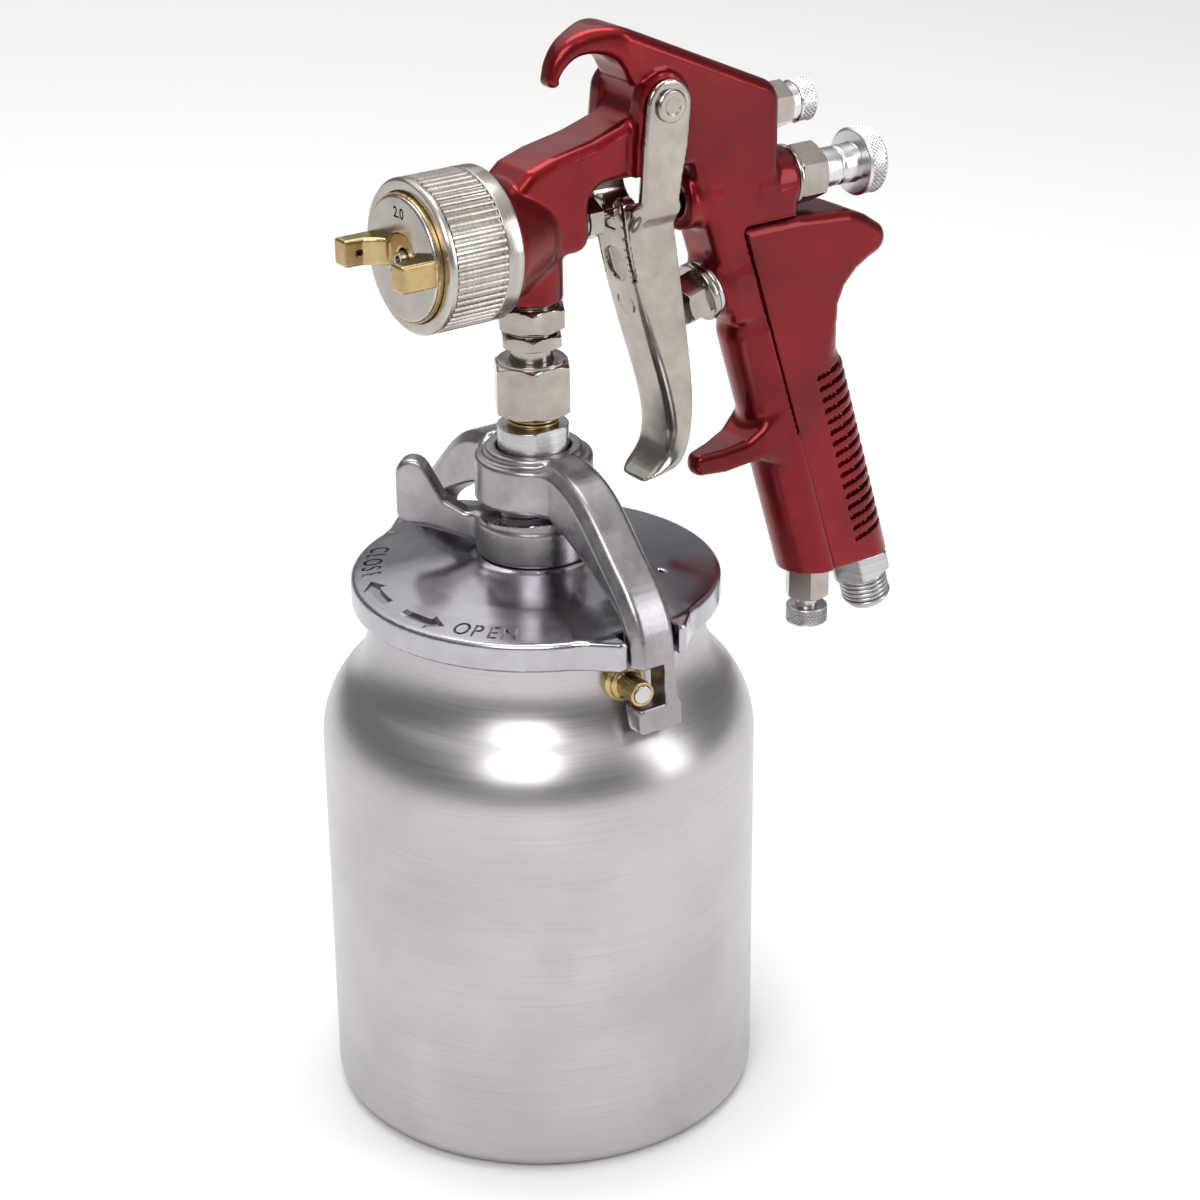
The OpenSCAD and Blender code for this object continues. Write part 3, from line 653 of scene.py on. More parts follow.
def knurled(mesh, trees, radius, low, high, material, pitch):
    """Diamond knurl between low and high on a turned mesh, in millimetres."""
    count = int(2 * math.pi * radius / (pitch / MM))
    rows = max(3, 2 * int((high - low) / (pitch / MM)) + 1)
    height = 0.42
    return grown(mesh, trees, {
        "Radius": (radius - height) * MM, "Low": low * MM, "High": high * MM, "Tooth": 0.56 * pitch,
        "Height": height * MM, "Count": count, "Rows": rows}, material)


def threaded(mesh, tree, radius, low, high, pitch, material):
    """Thread with its crest at radius, between low and high, in millimetres."""
    ridge = 0.48 * pitch
    return grown(mesh, tree, {
        "Radius": (radius - ridge) * MM, "Low": (low + ridge) * MM, "Length": (high - low - 2 * ridge) * MM,
        "Turns": (high - low - 2 * ridge) / pitch, "Ridge": ridge * MM}, material)


# ---- finishes, node by node ----

def metal(name, light, dark, rough, grain, blotch=45.0, scratch=0.25, pits=0.0, relief=0.00002):
    """Bare metal. grain stretches the streaks along the way it was worked; rough is (least, most)."""
    material = bpy.data.materials.new(name)
    material.use_nodes = True
    nodes, links = material.node_tree.nodes, material.node_tree.links
    nodes.clear()
    colour_frame = nodes.new("NodeFrame")
    colour_frame.label = "Colour of the worked metal"
    sheen_frame = nodes.new("NodeFrame")
    sheen_frame.label = "Polish and handling marks"
    relief_frame = nodes.new("NodeFrame")
    relief_frame.label = "Tool marks and pits"
    place = nodes.new("ShaderNodeTexCoord")
    place.label = "Place on the gun"
    stretch = nodes.new("ShaderNodeMapping")
    stretch.label = "Way the metal was worked"
    stretch.inputs["Scale"].default_value = grain
    streaks = nodes.new("ShaderNodeTexNoise")
    streaks.label = "Tool streaks"
    streaks.inputs["Scale"].default_value = 1.0
    streaks.inputs["Detail"].default_value = 5.0
    streaks.inputs["Roughness"].default_value = 0.62
    streaks.parent = colour_frame
    tone = nodes.new("ShaderNodeValToRGB")
    tone.label = "Streak tone"
    tone.color_ramp.elements[0].position = 0.3
    tone.color_ramp.elements[0].color = (*dark, 1)
    tone.color_ramp.elements[1].position = 0.7
    tone.color_ramp.elements[1].color = (*light, 1)
    tone.parent = colour_frame
    stain = nodes.new("ShaderNodeTexNoise")
    stain.label = "Handling stains"
    stain.inputs["Scale"].default_value = blotch
    stain.inputs["Detail"].default_value = 4.0
    stain.inputs["Distortion"].default_value = 0.4
    stain.parent = sheen_frame
    stain_level = nodes.new("ShaderNodeMapRange")
    stain_level.label = "How much the stains dull it"
    stain_level.inputs["From Min"].default_value = 0.35
    stain_level.inputs["From Max"].default_value = 0.7
    stain_level.inputs["To Min"].default_value = 1.0
    stain_level.inputs["To Max"].default_value = 0.86
    stain_level.parent = sheen_frame
    shade = nodes.new("ShaderNodeMix")
    shade.label = "Stained colour"
    shade.data_type = "RGBA"
    shade.blend_type = "MULTIPLY"
    shade.inputs[0].default_value = 1.0
    shade.parent = colour_frame
    rub = nodes.new("ShaderNodeMix")
    rub.label = "Streaks and stains together"
    rub.data_type = "FLOAT"
    rub.inputs[0].default_value = 0.45
    rub.parent = sheen_frame
    gloss = nodes.new("ShaderNodeMapRange")
    gloss.label = "Polish"
    gloss.inputs["From Min"].default_value = 0.3
    gloss.inputs["From Max"].default_value = 0.7
    gloss.inputs["To Min"].default_value = rough[0]
    gloss.inputs["To Max"].default_value = rough[1]
    gloss.parent = sheen_frame
    lines = nodes.new("ShaderNodeTexVoronoi")
    lines.label = "Fine scratches"
    lines.feature = "DISTANCE_TO_EDGE"
    lines.inputs["Scale"].default_value = 55.0
    lines.parent = relief_frame
    thin = nodes.new("ShaderNodeMapRange")
    thin.label = "Only the thin lines"
    thin.inputs["From Min"].default_value = 0.0
    thin.inputs["From Max"].default_value = 0.012
    thin.inputs["To Min"].default_value = 0.0
    thin.inputs["To Max"].default_value = 1.0
    thin.parent = relief_frame
    holes = nodes.new("ShaderNodeTexNoise")
    holes.label = "Casting pits"
    holes.inputs["Scale"].default_value = 900.0
    holes.inputs["Detail"].default_value = 3.0
    holes.parent = relief_frame
    sum_a = nodes.new("ShaderNodeMath")
    sum_a.label = "Streaks with scratches"
    sum_a.operation = "MULTIPLY_ADD"
    sum_a.inputs[1].default_value = scratch
    sum_a.parent = relief_frame
    sum_b = nodes.new("ShaderNodeMath")
    sum_b.label = "And pits"
    sum_b.operation = "MULTIPLY_ADD"
    sum_b.inputs[1].default_value = pits
    sum_b.parent = relief_frame
    bump = nodes.new("ShaderNodeBump")
    bump.label = "Relief"
    bump.inputs["Strength"].default_value = 0.6
    bump.inputs["Distance"].default_value = relief
    bump.parent = relief_frame
    shader = nodes.new("ShaderNodeBsdfPrincipled")
    shader.label = name
    shader.inputs["Metallic"].default_value = 1.0
    output = nodes.new("ShaderNodeOutputMaterial")
    links.new(place.outputs["Object"], stretch.inputs["Vector"])
    links.new(stretch.outputs["Vector"], streaks.inputs["Vector"])
    links.new(place.outputs["Object"], stain.inputs["Vector"])
    links.new(place.outputs["Object"], lines.inputs["Vector"])
    links.new(place.outputs["Object"], holes.inputs["Vector"])
    links.new(streaks.outputs["Fac"], tone.inputs["Fac"])
    links.new(stain.outputs["Fac"], stain_level.inputs["Value"])
    links.new(tone.outputs["Color"], shade.inputs[6])
    links.new(stain_level.outputs["Result"], shade.inputs[7])
    links.new(streaks.outputs["Fac"], rub.inputs[2])
    links.new(stain.outputs["Fac"], rub.inputs[3])
    links.new(rub.outputs[0], gloss.inputs["Value"])
    links.new(lines.outputs["Distance"], thin.inputs["Value"])
    links.new(thin.outputs["Result"], sum_a.inputs[0])
    links.new(streaks.outputs["Fac"], sum_a.inputs[2])
    links.new(holes.outputs["Fac"], sum_b.inputs[0])
    links.new(sum_a.outputs[0], sum_b.inputs[2])
    links.new(sum_b.outputs[0], bump.inputs["Height"])
    links.new(shade.outputs[2], shader.inputs["Base Color"])
    links.new(gloss.outputs["Result"], shader.inputs["Roughness"])
    links.new(bump.outputs["Normal"], shader.inputs["Normal"])
    links.new(shader.outputs["BSDF"], output.inputs["Surface"])
    lay_out(material.node_tree)
    return material


def lacquer(light, deep):
    """Metallic red lacquer under a clear coat, over a slightly wavy casting."""
    material = bpy.data.materials.new("Red lacquer")
    material.use_nodes = True
    nodes, links = material.node_tree.nodes, material.node_tree.links
    nodes.clear()
    colour_frame = nodes.new("NodeFrame")
    colour_frame.label = "Depth of the coat"
    flake_frame = nodes.new("NodeFrame")
    flake_frame.label = "Metal flake"
    wave_frame = nodes.new("NodeFrame")
    wave_frame.label = "Skin of the casting"
    place = nodes.new("ShaderNodeTexCoord")
    place.label = "Place on the gun"
    drift = nodes.new("ShaderNodeTexNoise")
    drift.label = "Coat thickness"
    drift.inputs["Scale"].default_value = 42.0
    drift.inputs["Detail"].default_value = 3.0
    drift.parent = colour_frame
    tone = nodes.new("ShaderNodeValToRGB")
    tone.label = "Thin to thick coat"
    tone.color_ramp.elements[0].position = 0.34
    tone.color_ramp.elements[0].color = (*light, 1)
    tone.color_ramp.elements[1].position = 0.68
    tone.color_ramp.elements[1].color = (*deep, 1)
    tone.parent = colour_frame
    flake = nodes.new("ShaderNodeTexNoise")
    flake.label = "Flake"
    flake.inputs["Scale"].default_value = 5200.0
    flake.inputs["Detail"].default_value = 2.0
    flake.parent = flake_frame
    gloss = nodes.new("ShaderNodeMapRange")
    gloss.label = "Flake spread"
    gloss.inputs["From Min"].default_value = 0.3
    gloss.inputs["From Max"].default_value = 0.7
    gloss.inputs["To Min"].default_value = 0.27
    gloss.inputs["To Max"].default_value = 0.4
    gloss.parent = flake_frame
    wave = nodes.new("ShaderNodeTexNoise")
    wave.label = "Orange peel"
    wave.inputs["Scale"].default_value = 420.0
    wave.inputs["Detail"].default_value = 2.0
    wave.parent = wave_frame
    swell = nodes.new("ShaderNodeTexNoise")
    swell.label = "Waves of the casting"
    swell.inputs["Scale"].default_value = 85.0
    swell.inputs["Detail"].default_value = 1.0
    swell.parent = wave_frame
    both = nodes.new("ShaderNodeMath")
    both.label = "Peel and waves"
    both.operation = "MULTIPLY_ADD"
    both.inputs[1].default_value = 0.12
    both.parent = wave_frame
    bump = nodes.new("ShaderNodeBump")
    bump.label = "Relief"
    bump.inputs["Strength"].default_value = 0.55
    bump.inputs["Distance"].default_value = 0.00035
    bump.parent = wave_frame
    shader = nodes.new("ShaderNodeBsdfPrincipled")
    shader.label = "Lacquer"
    shader.inputs["Metallic"].default_value = 0.85
    shader.inputs["Coat Weight"].default_value = 0.28
    shader.inputs["Coat Roughness"].default_value = 0.06
    output = nodes.new("ShaderNodeOutputMaterial")
    links.new(place.outputs["Object"], drift.inputs["Vector"])
    links.new(place.outputs["Object"], flake.inputs["Vector"])
    links.new(place.outputs["Object"], wave.inputs["Vector"])
    links.new(place.outputs["Object"], swell.inputs["Vector"])
    links.new(drift.outputs["Fac"], tone.inputs["Fac"])
    links.new(flake.outputs["Fac"], gloss.inputs["Value"])
    links.new(wave.outputs["Fac"], both.inputs[0])
    links.new(swell.outputs["Fac"], both.inputs[2])
    links.new(both.outputs[0], bump.inputs["Height"])
    links.new(tone.outputs["Color"], shader.inputs["Base Color"])
    links.new(gloss.outputs["Result"], shader.inputs["Roughness"])
    links.new(bump.outputs["Normal"], shader.inputs["Normal"])
    links.new(bump.outputs["Normal"], shader.inputs["Coat Normal"])
    links.new(shader.outputs["BSDF"], output.inputs["Surface"])
    lay_out(material.node_tree)
    return material


def polymer(name, light, dark, rough):
    """Gasket and packing material with a fine fibre mottle."""
    material = bpy.data.materials.new(name)
    material.use_nodes = True
    nodes, links = material.node_tree.nodes, material.node_tree.links
    nodes.clear()
    group = nodes.new("NodeFrame")
    group.label = "Fibre mottle"
    place = nodes.new("ShaderNodeTexCoord")
    place.label = "Place on the gun"
    fibre = nodes.new("ShaderNodeTexNoise")
    fibre.label = "Fibres"
    fibre.inputs["Scale"].default_value = 700.0
    fibre.inputs["Detail"].default_value = 4.0
    fibre.parent = group
    tone = nodes.new("ShaderNodeValToRGB")
    tone.label = "Mottle"
    tone.color_ramp.elements[0].color = (*dark, 1)
    tone.color_ramp.elements[1].color = (*light, 1)
    tone.parent = group
    gloss = nodes.new("ShaderNodeMapRange")
    gloss.label = "Dull to waxy"
    gloss.inputs["To Min"].default_value = rough[0]
    gloss.inputs["To Max"].default_value = rough[1]
    gloss.parent = group
    bump = nodes.new("ShaderNodeBump")
    bump.label = "Surface"
    bump.inputs["Distance"].default_value = 0.00004
    bump.parent = group
    shader = nodes.new("ShaderNodeBsdfPrincipled")
    shader.label = name
    output = nodes.new("ShaderNodeOutputMaterial")
    links.new(place.outputs["Object"], fibre.inputs["Vector"])
    links.new(fibre.outputs["Fac"], tone.inputs["Fac"])
    links.new(fibre.outputs["Fac"], gloss.inputs["Value"])
    links.new(fibre.outputs["Fac"], bump.inputs["Height"])
    links.new(tone.outputs["Color"], shader.inputs["Base Color"])
    links.new(gloss.outputs["Result"], shader.inputs["Roughness"])
    links.new(bump.outputs["Normal"], shader.inputs["Normal"])
    links.new(shader.outputs["BSDF"], output.inputs["Surface"])
    lay_out(material.node_tree)
    return material


FINISH = {}


def finish(name):
    """The finish of that name, made the first time it is asked for."""
    if name in FINISH:
        return FINISH[name]
    colours = bpy.context.scene.spray_gun_colours
    along_z, along_x, even = (26, 26, 2400), (2400, 26, 26), (160, 160, 160)
    if name == "lacquer":
        made = lacquer(tuple(colours.lacquer_light), tuple(colours.lacquer_deep))
    elif name == "spun":
        made = metal("Spun aluminium", (0.56, 0.54, 0.545), (0.46, 0.44, 0.445), (0.27, 0.38), (22, 22, 4600),
                     blotch=34, scratch=0.05, relief=0.000012)
    elif name == "lid":
        made = metal("Polished alloy", (0.52, 0.505, 0.54), (0.4, 0.385, 0.42), (0.12, 0.27), (60, 60, 60),
                     blotch=60, scratch=0.1, relief=0.00002)
    elif name == "cast":
        made = metal("Die cast alloy", (0.43, 0.41, 0.425), (0.31, 0.295, 0.31), (0.2, 0.4), even,
                     blotch=90, scratch=0.15, pits=0.3, relief=0.00003)
    elif name == "turned_z":
        made = metal("Turned aluminium upright", (0.62, 0.61, 0.62), (0.46, 0.45, 0.46), (0.2, 0.36), along_z)
    elif name == "turned_x":
        made = metal("Turned aluminium", (0.76, 0.75, 0.76), (0.6, 0.59, 0.6), (0.2, 0.36), along_x)
    elif name == "nickel":
        made = metal("Nickel plate", (0.46, 0.42, 0.38), (0.34, 0.31, 0.275), (0.1, 0.26), even,
                     blotch=120, scratch=0.1, relief=0.000015)
    elif name == "nickel_x":
        made = metal("Turned nickel plate", (0.56, 0.525, 0.485), (0.4, 0.37, 0.335), (0.16, 0.3), along_x,
                     blotch=120, scratch=0.05, relief=0.000015)
    elif name == "steel":
        made = metal("Polished steel", (0.62, 0.61, 0.6), (0.48, 0.47, 0.46), (0.1, 0.22), even)
    elif name == "spring":
        made = metal("Spring steel", (0.55, 0.55, 0.56), (0.38, 0.38, 0.4), (0.22, 0.4), even)
    elif name == "brass":
        made = metal("Brass", (0.6, 0.45, 0.23), (0.42, 0.3, 0.13), (0.18, 0.36), even, blotch=150)
    elif name == "nylon":
        made = polymer("Gasket nylon", (0.85, 0.82, 0.72), (0.74, 0.7, 0.58), (0.4, 0.6))
    elif name == "fibre":
        made = polymer("Gasket fibre", (0.3, 0.12, 0.08), (0.18, 0.06, 0.04), (0.7, 0.9))
    elif name == "packing":
        made = polymer("White packing", (0.9, 0.9, 0.88), (0.8, 0.8, 0.78), (0.3, 0.5))
    else:
        raise ValueError(f"there is no finish named {name}")
    FINISH[name] = made
    return made


# ---- the pieces ----

class SPRAYGUN_OT_cup(bpy.types.Operator):
    """Spun one litre cup with the two studs that the yoke hooks under"""
    bl_idname = "spraygun.cup"
    bl_label = "Cup"

    def execute(self, context):
        outer = ([(0, 0)] + arc((49.5, 4.5), 4.5, -90, 0, 6) + arc((30, 97), 24, 0, 43.92, 14)
                 + arc((62.19, 128), 20.69, 223.92, 180, 14) + [(41.5, 136)])
        inner = ([(39.7, 136)] + arc((62.19, 128), 22.49, 180, 223.92, 14) + arc((30, 97), 22.2, 43.92, 0, 14)
                 + arc((49.5, 4.9), 2.7, 0, -90, 6) + [(0, 2.2)])
        piece("cup_shell", turned("cup", outer + inner, ease=0, steps=192), finish("spun"),
              "cup", ["cup"])
        sleeve = [(2.25, 40.6), (5.2, 40.6), (5.2, 43.4), (4.2, 43.9), (4.2, 44.7), (3.05, 44.9), (3.05, 52),
                  (2.25, 52)]
        pin = [(0, 40.2), (2.2, 40.2), (2.2, 52.3), (0, 52.3)]
        for label, outline, skin_name, node, slot in (
                ("stud_sleeves", sleeve, "brass", "cup_studs", "brass"),
                ("stud_pins_steel", pin, "steel", "stud_pins", "polished_steel")):
            parts = []
            for side in (-1, 1):
                part = turned(label, outline, ease=0.3, steps=64)
                part.transform(at_stud(side))
                parts.append(part)
            piece(label, merged(label, parts), finish(skin_name), "cup", [node])
        return {"FINISHED"}


LUG_Z = (132.6, 139.8)                      # underside and top of the lid's lugs
NOTCH_HALF, NOTCH_WALL = 7.5, 43.8          # half width and inner wall of the lid's notches
VENT, VENT_RADIUS = (20.8, -23.5), 0.9      # air hole through the lid
POST_FLAT, POST_FLAT_Z = 7.5, 174.3         # half width across the post's flats, and their foot
ARROW_RADIUS, ARROW_Z = 40.8, (139.75, 143)
LETTER_RADIUS, LETTER_Z = 40.6, 140.75
LETTER_STEP = 5.5                           # degrees from one letter to the next
LETTER_SIZE, LETTER_DEPTH, LETTER_WIDTH = 7.0, 2.4, 0.76
LETTER_TILT = 8.5                           # degrees, the slope of the lid under the letters
LETTER_BOLD = 0.08                          # how far each letter's outline moves out


def lid_shape(x, y, z):
    """Lid with its lugs, notches, hollow underside and air hole."""
    r = np.sqrt(x * x + y * y)
    body = inside(r, z, [(-1, 132.6), (44.6, 132.6), (45.4, 133.3), (45.4, 139.1), (44.7, 139.8),
                         (37, 141), (30, 142.3), (18, 144.1), (15.4, 144.7), (14.6, 145.3), (-1, 145.3)])
    lugs = np.maximum(LUG_Z[0] - z, z - LUG_Z[1])
    outline = [(-17.7, 41.0), (-9.5, 48.8), (9.5, 48.8), (17.7, 41.0), (10, 30), (-10, 30)]
    body = join(body, meet(inside(x + 0 * y, np.abs(y) + 0 * x, outline) + 0 * z, lugs, 0.6), 0.8)
    hollow = inside(r, z, [(-1, 131), (42.3, 131), (42.3, 137.8), (34, 138.6), (14, 141), (12.5, 136),
                           (-1, 136)])
    body = cut(body, hollow, 0.2)
    body = cut(body, r - 7, 0.2)
    notch = np.maximum(np.abs(x) - NOTCH_HALF, NOTCH_WALL - np.abs(y)) + 0 * z
    body = cut(body, notch, 0.5)
    vent = np.sqrt((x - VENT[0]) ** 2 + (y - VENT[1]) ** 2) - VENT_RADIUS + 0 * z
    return cut(body, vent, 0.2)


def arrow_outline(radius, start, end):
    """Outline of a curved arrow: a band with a barbed head, in millimetres, angles in degrees."""
    turn = 1 if end > start else -1
    body, head = 1.3, 2.9
    neck = end - turn * 6.5
    n = 10
    rim = [(radius + body, start + (neck - start) * i / n) for i in range(n + 1)]
    rim += [(radius + head, neck), (radius, end), (radius - head, neck)]
    rim += [(radius - body, neck + (start - neck) * i / n) for i in range(n + 1)]
    return [(q * math.cos(math.radians(a)), q * math.sin(math.radians(a))) for q, a in rim]


def prism(points, low, high):
    """Mesh of an outline in millimetres raised from low to high."""
    bm = bmesh.new()
    bottom = [bm.verts.new((x * MM, y * MM, low * MM)) for x, y in points]
    top = [bm.verts.new((x * MM, y * MM, high * MM)) for x, y in points]
    bm.faces.new(bottom)
    bm.faces.new(top)
    for i in range(len(points)):
        j = (i + 1) % len(points)
        bm.faces.new((bottom[i], bottom[j], top[j], top[i]))
    bmesh.ops.recalc_face_normals(bm, faces=bm.faces)
    mesh = bpy.data.meshes.new("prism")
    bm.to_mesh(mesh)
    bm.free()
    return mesh


def word_solid(text, size, depth):
    """Mesh of a generic word, centred on the origin, in millimetres, raised by depth."""
    curve = bpy.data.curves.new("word", "FONT")
    curve.body = text
    curve.size = size * MM
    curve.align_x = "CENTER"
    curve.align_y = "CENTER"
    curve.extrude = depth * MM / 2
    curve.offset = LETTER_BOLD * MM
    curve.resolution_u = 4
    obj = bpy.data.objects.new("word", curve)
    bpy.context.scene.collection.objects.link(obj)
    bpy.context.view_layer.update()
    mesh = bpy.data.meshes.new_from_object(obj.evaluated_get(bpy.context.evaluated_depsgraph_get()))
    bpy.data.objects.remove(obj)
    bm = bmesh.new()
    bm.from_mesh(mesh)
    bmesh.ops.remove_doubles(bm, verts=bm.verts, dist=0.0000005)
    bmesh.ops.recalc_face_normals(bm, faces=bm.faces)
    bm.to_mesh(mesh)
    bm.free()
    return mesh


def engraved(mesh, tools):
    """The mesh with the tools' meshes cut out of it."""
    base = bpy.data.objects.new("base", mesh)
    tool = bpy.data.objects.new("tool", merged("tool", tools))
    for o in (base, tool):
        bpy.context.scene.collection.objects.link(o)
    modifier = base.modifiers.new("Engraving", "BOOLEAN")
    modifier.operation = "DIFFERENCE"
    modifier.solver = "EXACT"
    modifier.use_self = True
    modifier.object = tool
    bpy.context.view_layer.update()
    result = bpy.data.meshes.new_from_object(base.evaluated_get(bpy.context.evaluated_depsgraph_get()))
    base.modifiers.remove(modifier)
    bpy.data.objects.remove(base)
    bpy.data.objects.remove(tool)
    if len(result.polygons) < 0.5 * len(mesh.polygons):
        raise RuntimeError("the engraving emptied the mesh")
    result.shade_smooth()
    result.set_sharp_from_angle(angle=math.radians(38))
    return result


class SPRAYGUN_OT_lid(bpy.types.Operator):
    """Lid with its lugs, notches and engraved turning marks, its gasket, post, nut, stem and suction tube"""
    bl_idname = "spraygun.lid"
    bl_label = "Lid"

    def execute(self, context):
        lid = skin("lid", lid_shape, (-46.5, -50, 131.5), (46.5, 50, 146.5), 0.62)
        tools = []
        for start, end in ((176, 157), (185, 204)):
            tools.append(prism(arrow_outline(ARROW_RADIUS, start, end), *ARROW_Z))
        for word, middle in (("CLOSE", 140.5), ("OPEN", 218.5)):
            for i, letter in enumerate(word):
                a = math.radians(middle + LETTER_STEP * (i - (len(word) - 1) / 2))
                at = (LETTER_RADIUS * math.cos(a) * MM, LETTER_RADIUS * math.sin(a) * MM, LETTER_Z * MM)
                solid = word_solid(letter, LETTER_SIZE, LETTER_DEPTH)
                solid.transform(Matrix.Translation(at) @ Matrix.Rotation(a + math.pi / 2, 4, "Z")
                                @ Matrix.Rotation(math.radians(LETTER_TILT), 4, "X")
                                @ Matrix.Diagonal((LETTER_WIDTH, 1, 1, 1)))
                tools.append(solid)
        piece("lid_plate", engraved(lid, tools), finish("lid"), "gun", ["lid"])
        dress("lid_gasket", finish("nylon"))
        post = turned("post", [(5.25, 131), (7, 131), (7, 145.3), (8.7, 145.3), (8.7, 174), (8.7, 178),
                               (5.25, 178)],
                      ease=0.4)
        for v in post.vertices:
            if v.co.z > POST_FLAT_Z * MM:
                v.co.y = max(-POST_FLAT * MM, min(POST_FLAT * MM, v.co.y))
        piece("lid_post", post, finish("turned_z"), "gun", ["post"])
        piece("lid_post_nut", turned("nut", nut_outline(132, 136, 11.4, 7.05), [(132, 136, 11.4)]),
              finish("nickel"), "gun", ["post_nut"])
        stem = turned("stem", [(2.8, 120), (5.15, 120), (5.15, 178), (5.75, 178), (5.75, 188.4),
                               (4.4, 189.8), (2.8, 189.8)])
        stem = threaded(stem, TREES["thread"], 6.4, 178.1, 188.2, 1.0, finish("brass"))
        piece("suction_stem", stem, None, "gun", ["stem"])
        dress("siphon_tube", finish("steel"))
        return {"FINISHED"}


LEVER_TURN = math.radians(135)              # where the fin points at rest
RAMP_TURNS = (90, 270)                      # degrees, the middles of the two ramps


def lever_shape(x, y, z):
    """Ring with two spiral ramps on top and a fin to turn it by."""
    c, s = math.cos(LEVER_TURN), math.sin(LEVER_TURN)
    along, side = x * c + y * s, -x * s + y * c
    r = np.sqrt(x * x + y * y)
    ring = meet(r - 14.3, np.maximum(145.4 - z, z - 154.6), 0.9)
    angle = np.degrees(np.arctan2(y, x))
    for turn in RAMP_TURNS:
        a = (angle - turn + 180) % 360 - 180
        rise = np.clip((a + 90) / 100, 0, 1)
        top = 155.5 + 2 * rise
        ramp = np.maximum(np.maximum(r - 13.9, 9 - r), np.maximum(z - top, 150 - z))
        ramp = np.maximum(ramp, np.maximum(-90 - a, a - 10) * 0.2)
        ring = join(ring, ramp, 0.3)
    fin = [(9, 146.4), (16, 147.4), (26, 150), (32, 150.6)] + arc((31, 153.6), 3, -60, 0, 4) \
        + arc((30, 163.6), 4, 0, 150, 8) + [(22, 157.4), (17, 154.6), (9, 154)]
    fin = meet(inside(along, z + 0 * along, fin), np.abs(side) - 2.75 + 0 * z, 1.1)
    body = join(ring, fin, 2.2)
    return cut(body, r - 8.76 + 0 * z, 0.3)


class SPRAYGUN_OT_cam_lever(bpy.types.Operator):
    """Cam lever that lifts the yoke as it turns"""
    bl_idname = "spraygun.cam_lever"
    bl_label = "Cam lever"

    def execute(self, context):
        mesh = skin("cam_lever", lever_shape, (-36, -17, 144.5), (17, 36, 169), 0.5)
        piece("cam_lever_cast", mesh, finish("cast"), "cam_lever", ["cam_lever"])
        return {"FINISHED"}


ARM_OUTER = [(13, 172.4), (19.4, 171.4), (25.4, 168.8), (31.6, 163.6), (38.2, 156.4), (44.8, 149.8),
             (49, 143.6), (50.8, 135.8), (51.5, 126), (52, 116.5)]
ARM_INNER = [(9.6, 159.4), (15, 159.2), (20, 157.6), (28, 153.6), (35, 149.8), (41.8, 145.6),
             (45.2, 142), (45.4, 134), (45.2, 124.4), (47.4, 116.5)]


WINDOW_Z = (122.6, 132.4)                   # bottom and top of the hooks' windows
WINDOW_SIDE, WINDOW_WALL = 1.4, 40          # closed side of the windows, and their inner wall


def yoke_shape(x, y, z):
    """Hub with two arms, a window in each foot and two pads that ride on the ramps."""
    r = np.sqrt(x * x + y * y)
    hub = join(meet(r - 14.4, np.maximum(159.3 - z, z - 170.6), 1.0),
               meet(r - 12, np.maximum(165 - z, z - 172.6), 0.8), 0.8)
    out = np.abs(y)
    outer = flowing(ARM_OUTER)
    arm = inside(out + 0 * z, z + 0 * out, outer + flowing(ARM_INNER[::-1]))
    behind = inside(out + 0 * z, z + 0 * out, outer + [(30, 110), (-5, 130), (-5, 172.2)])
    width = 4.3 + np.clip(-behind * 0.8, 0, 2.1)
    foot = smooth((126 - z) / 5)
    width = width + (6.4 - width) * foot * 0.8
    arm = meet(arm, (np.abs(x) - width) * 0.8, 0.55)
    body = join(hub, arm, 2.4)
    side = np.sign(y)
    notch = np.maximum(np.maximum(WINDOW_Z[0] - z, z - WINDOW_Z[1]),
                       np.maximum(-side * x - WINDOW_SIDE, WINDOW_WALL - out))
    body = cut(body, notch, 0.35)
    pads = np.degrees(np.abs(np.arctan2(x, out)))
    pad = np.maximum(np.maximum(r - 13.8, 9.3 - r), np.maximum(157.65 - z, z - 161))
    body = join(body, np.maximum(pad, (pads - 10) * 0.2), 0.2)
    return cut(body, r - 9.2 + 0 * z, 0.4)


class SPRAYGUN_OT_yoke(bpy.types.Operator):
    """Two armed yoke whose feet hook under the cup's studs"""
    bl_idname = "spraygun.yoke"
    bl_label = "Yoke"

    def execute(self, context):
        mesh = skin("yoke", yoke_shape, (-15.5, -53, 115.5), (15.5, 53, 173.5), 0.5)
        piece("yoke_cast", mesh, finish("cast"), "yoke", ["yoke"])
        return {"FINISHED"}


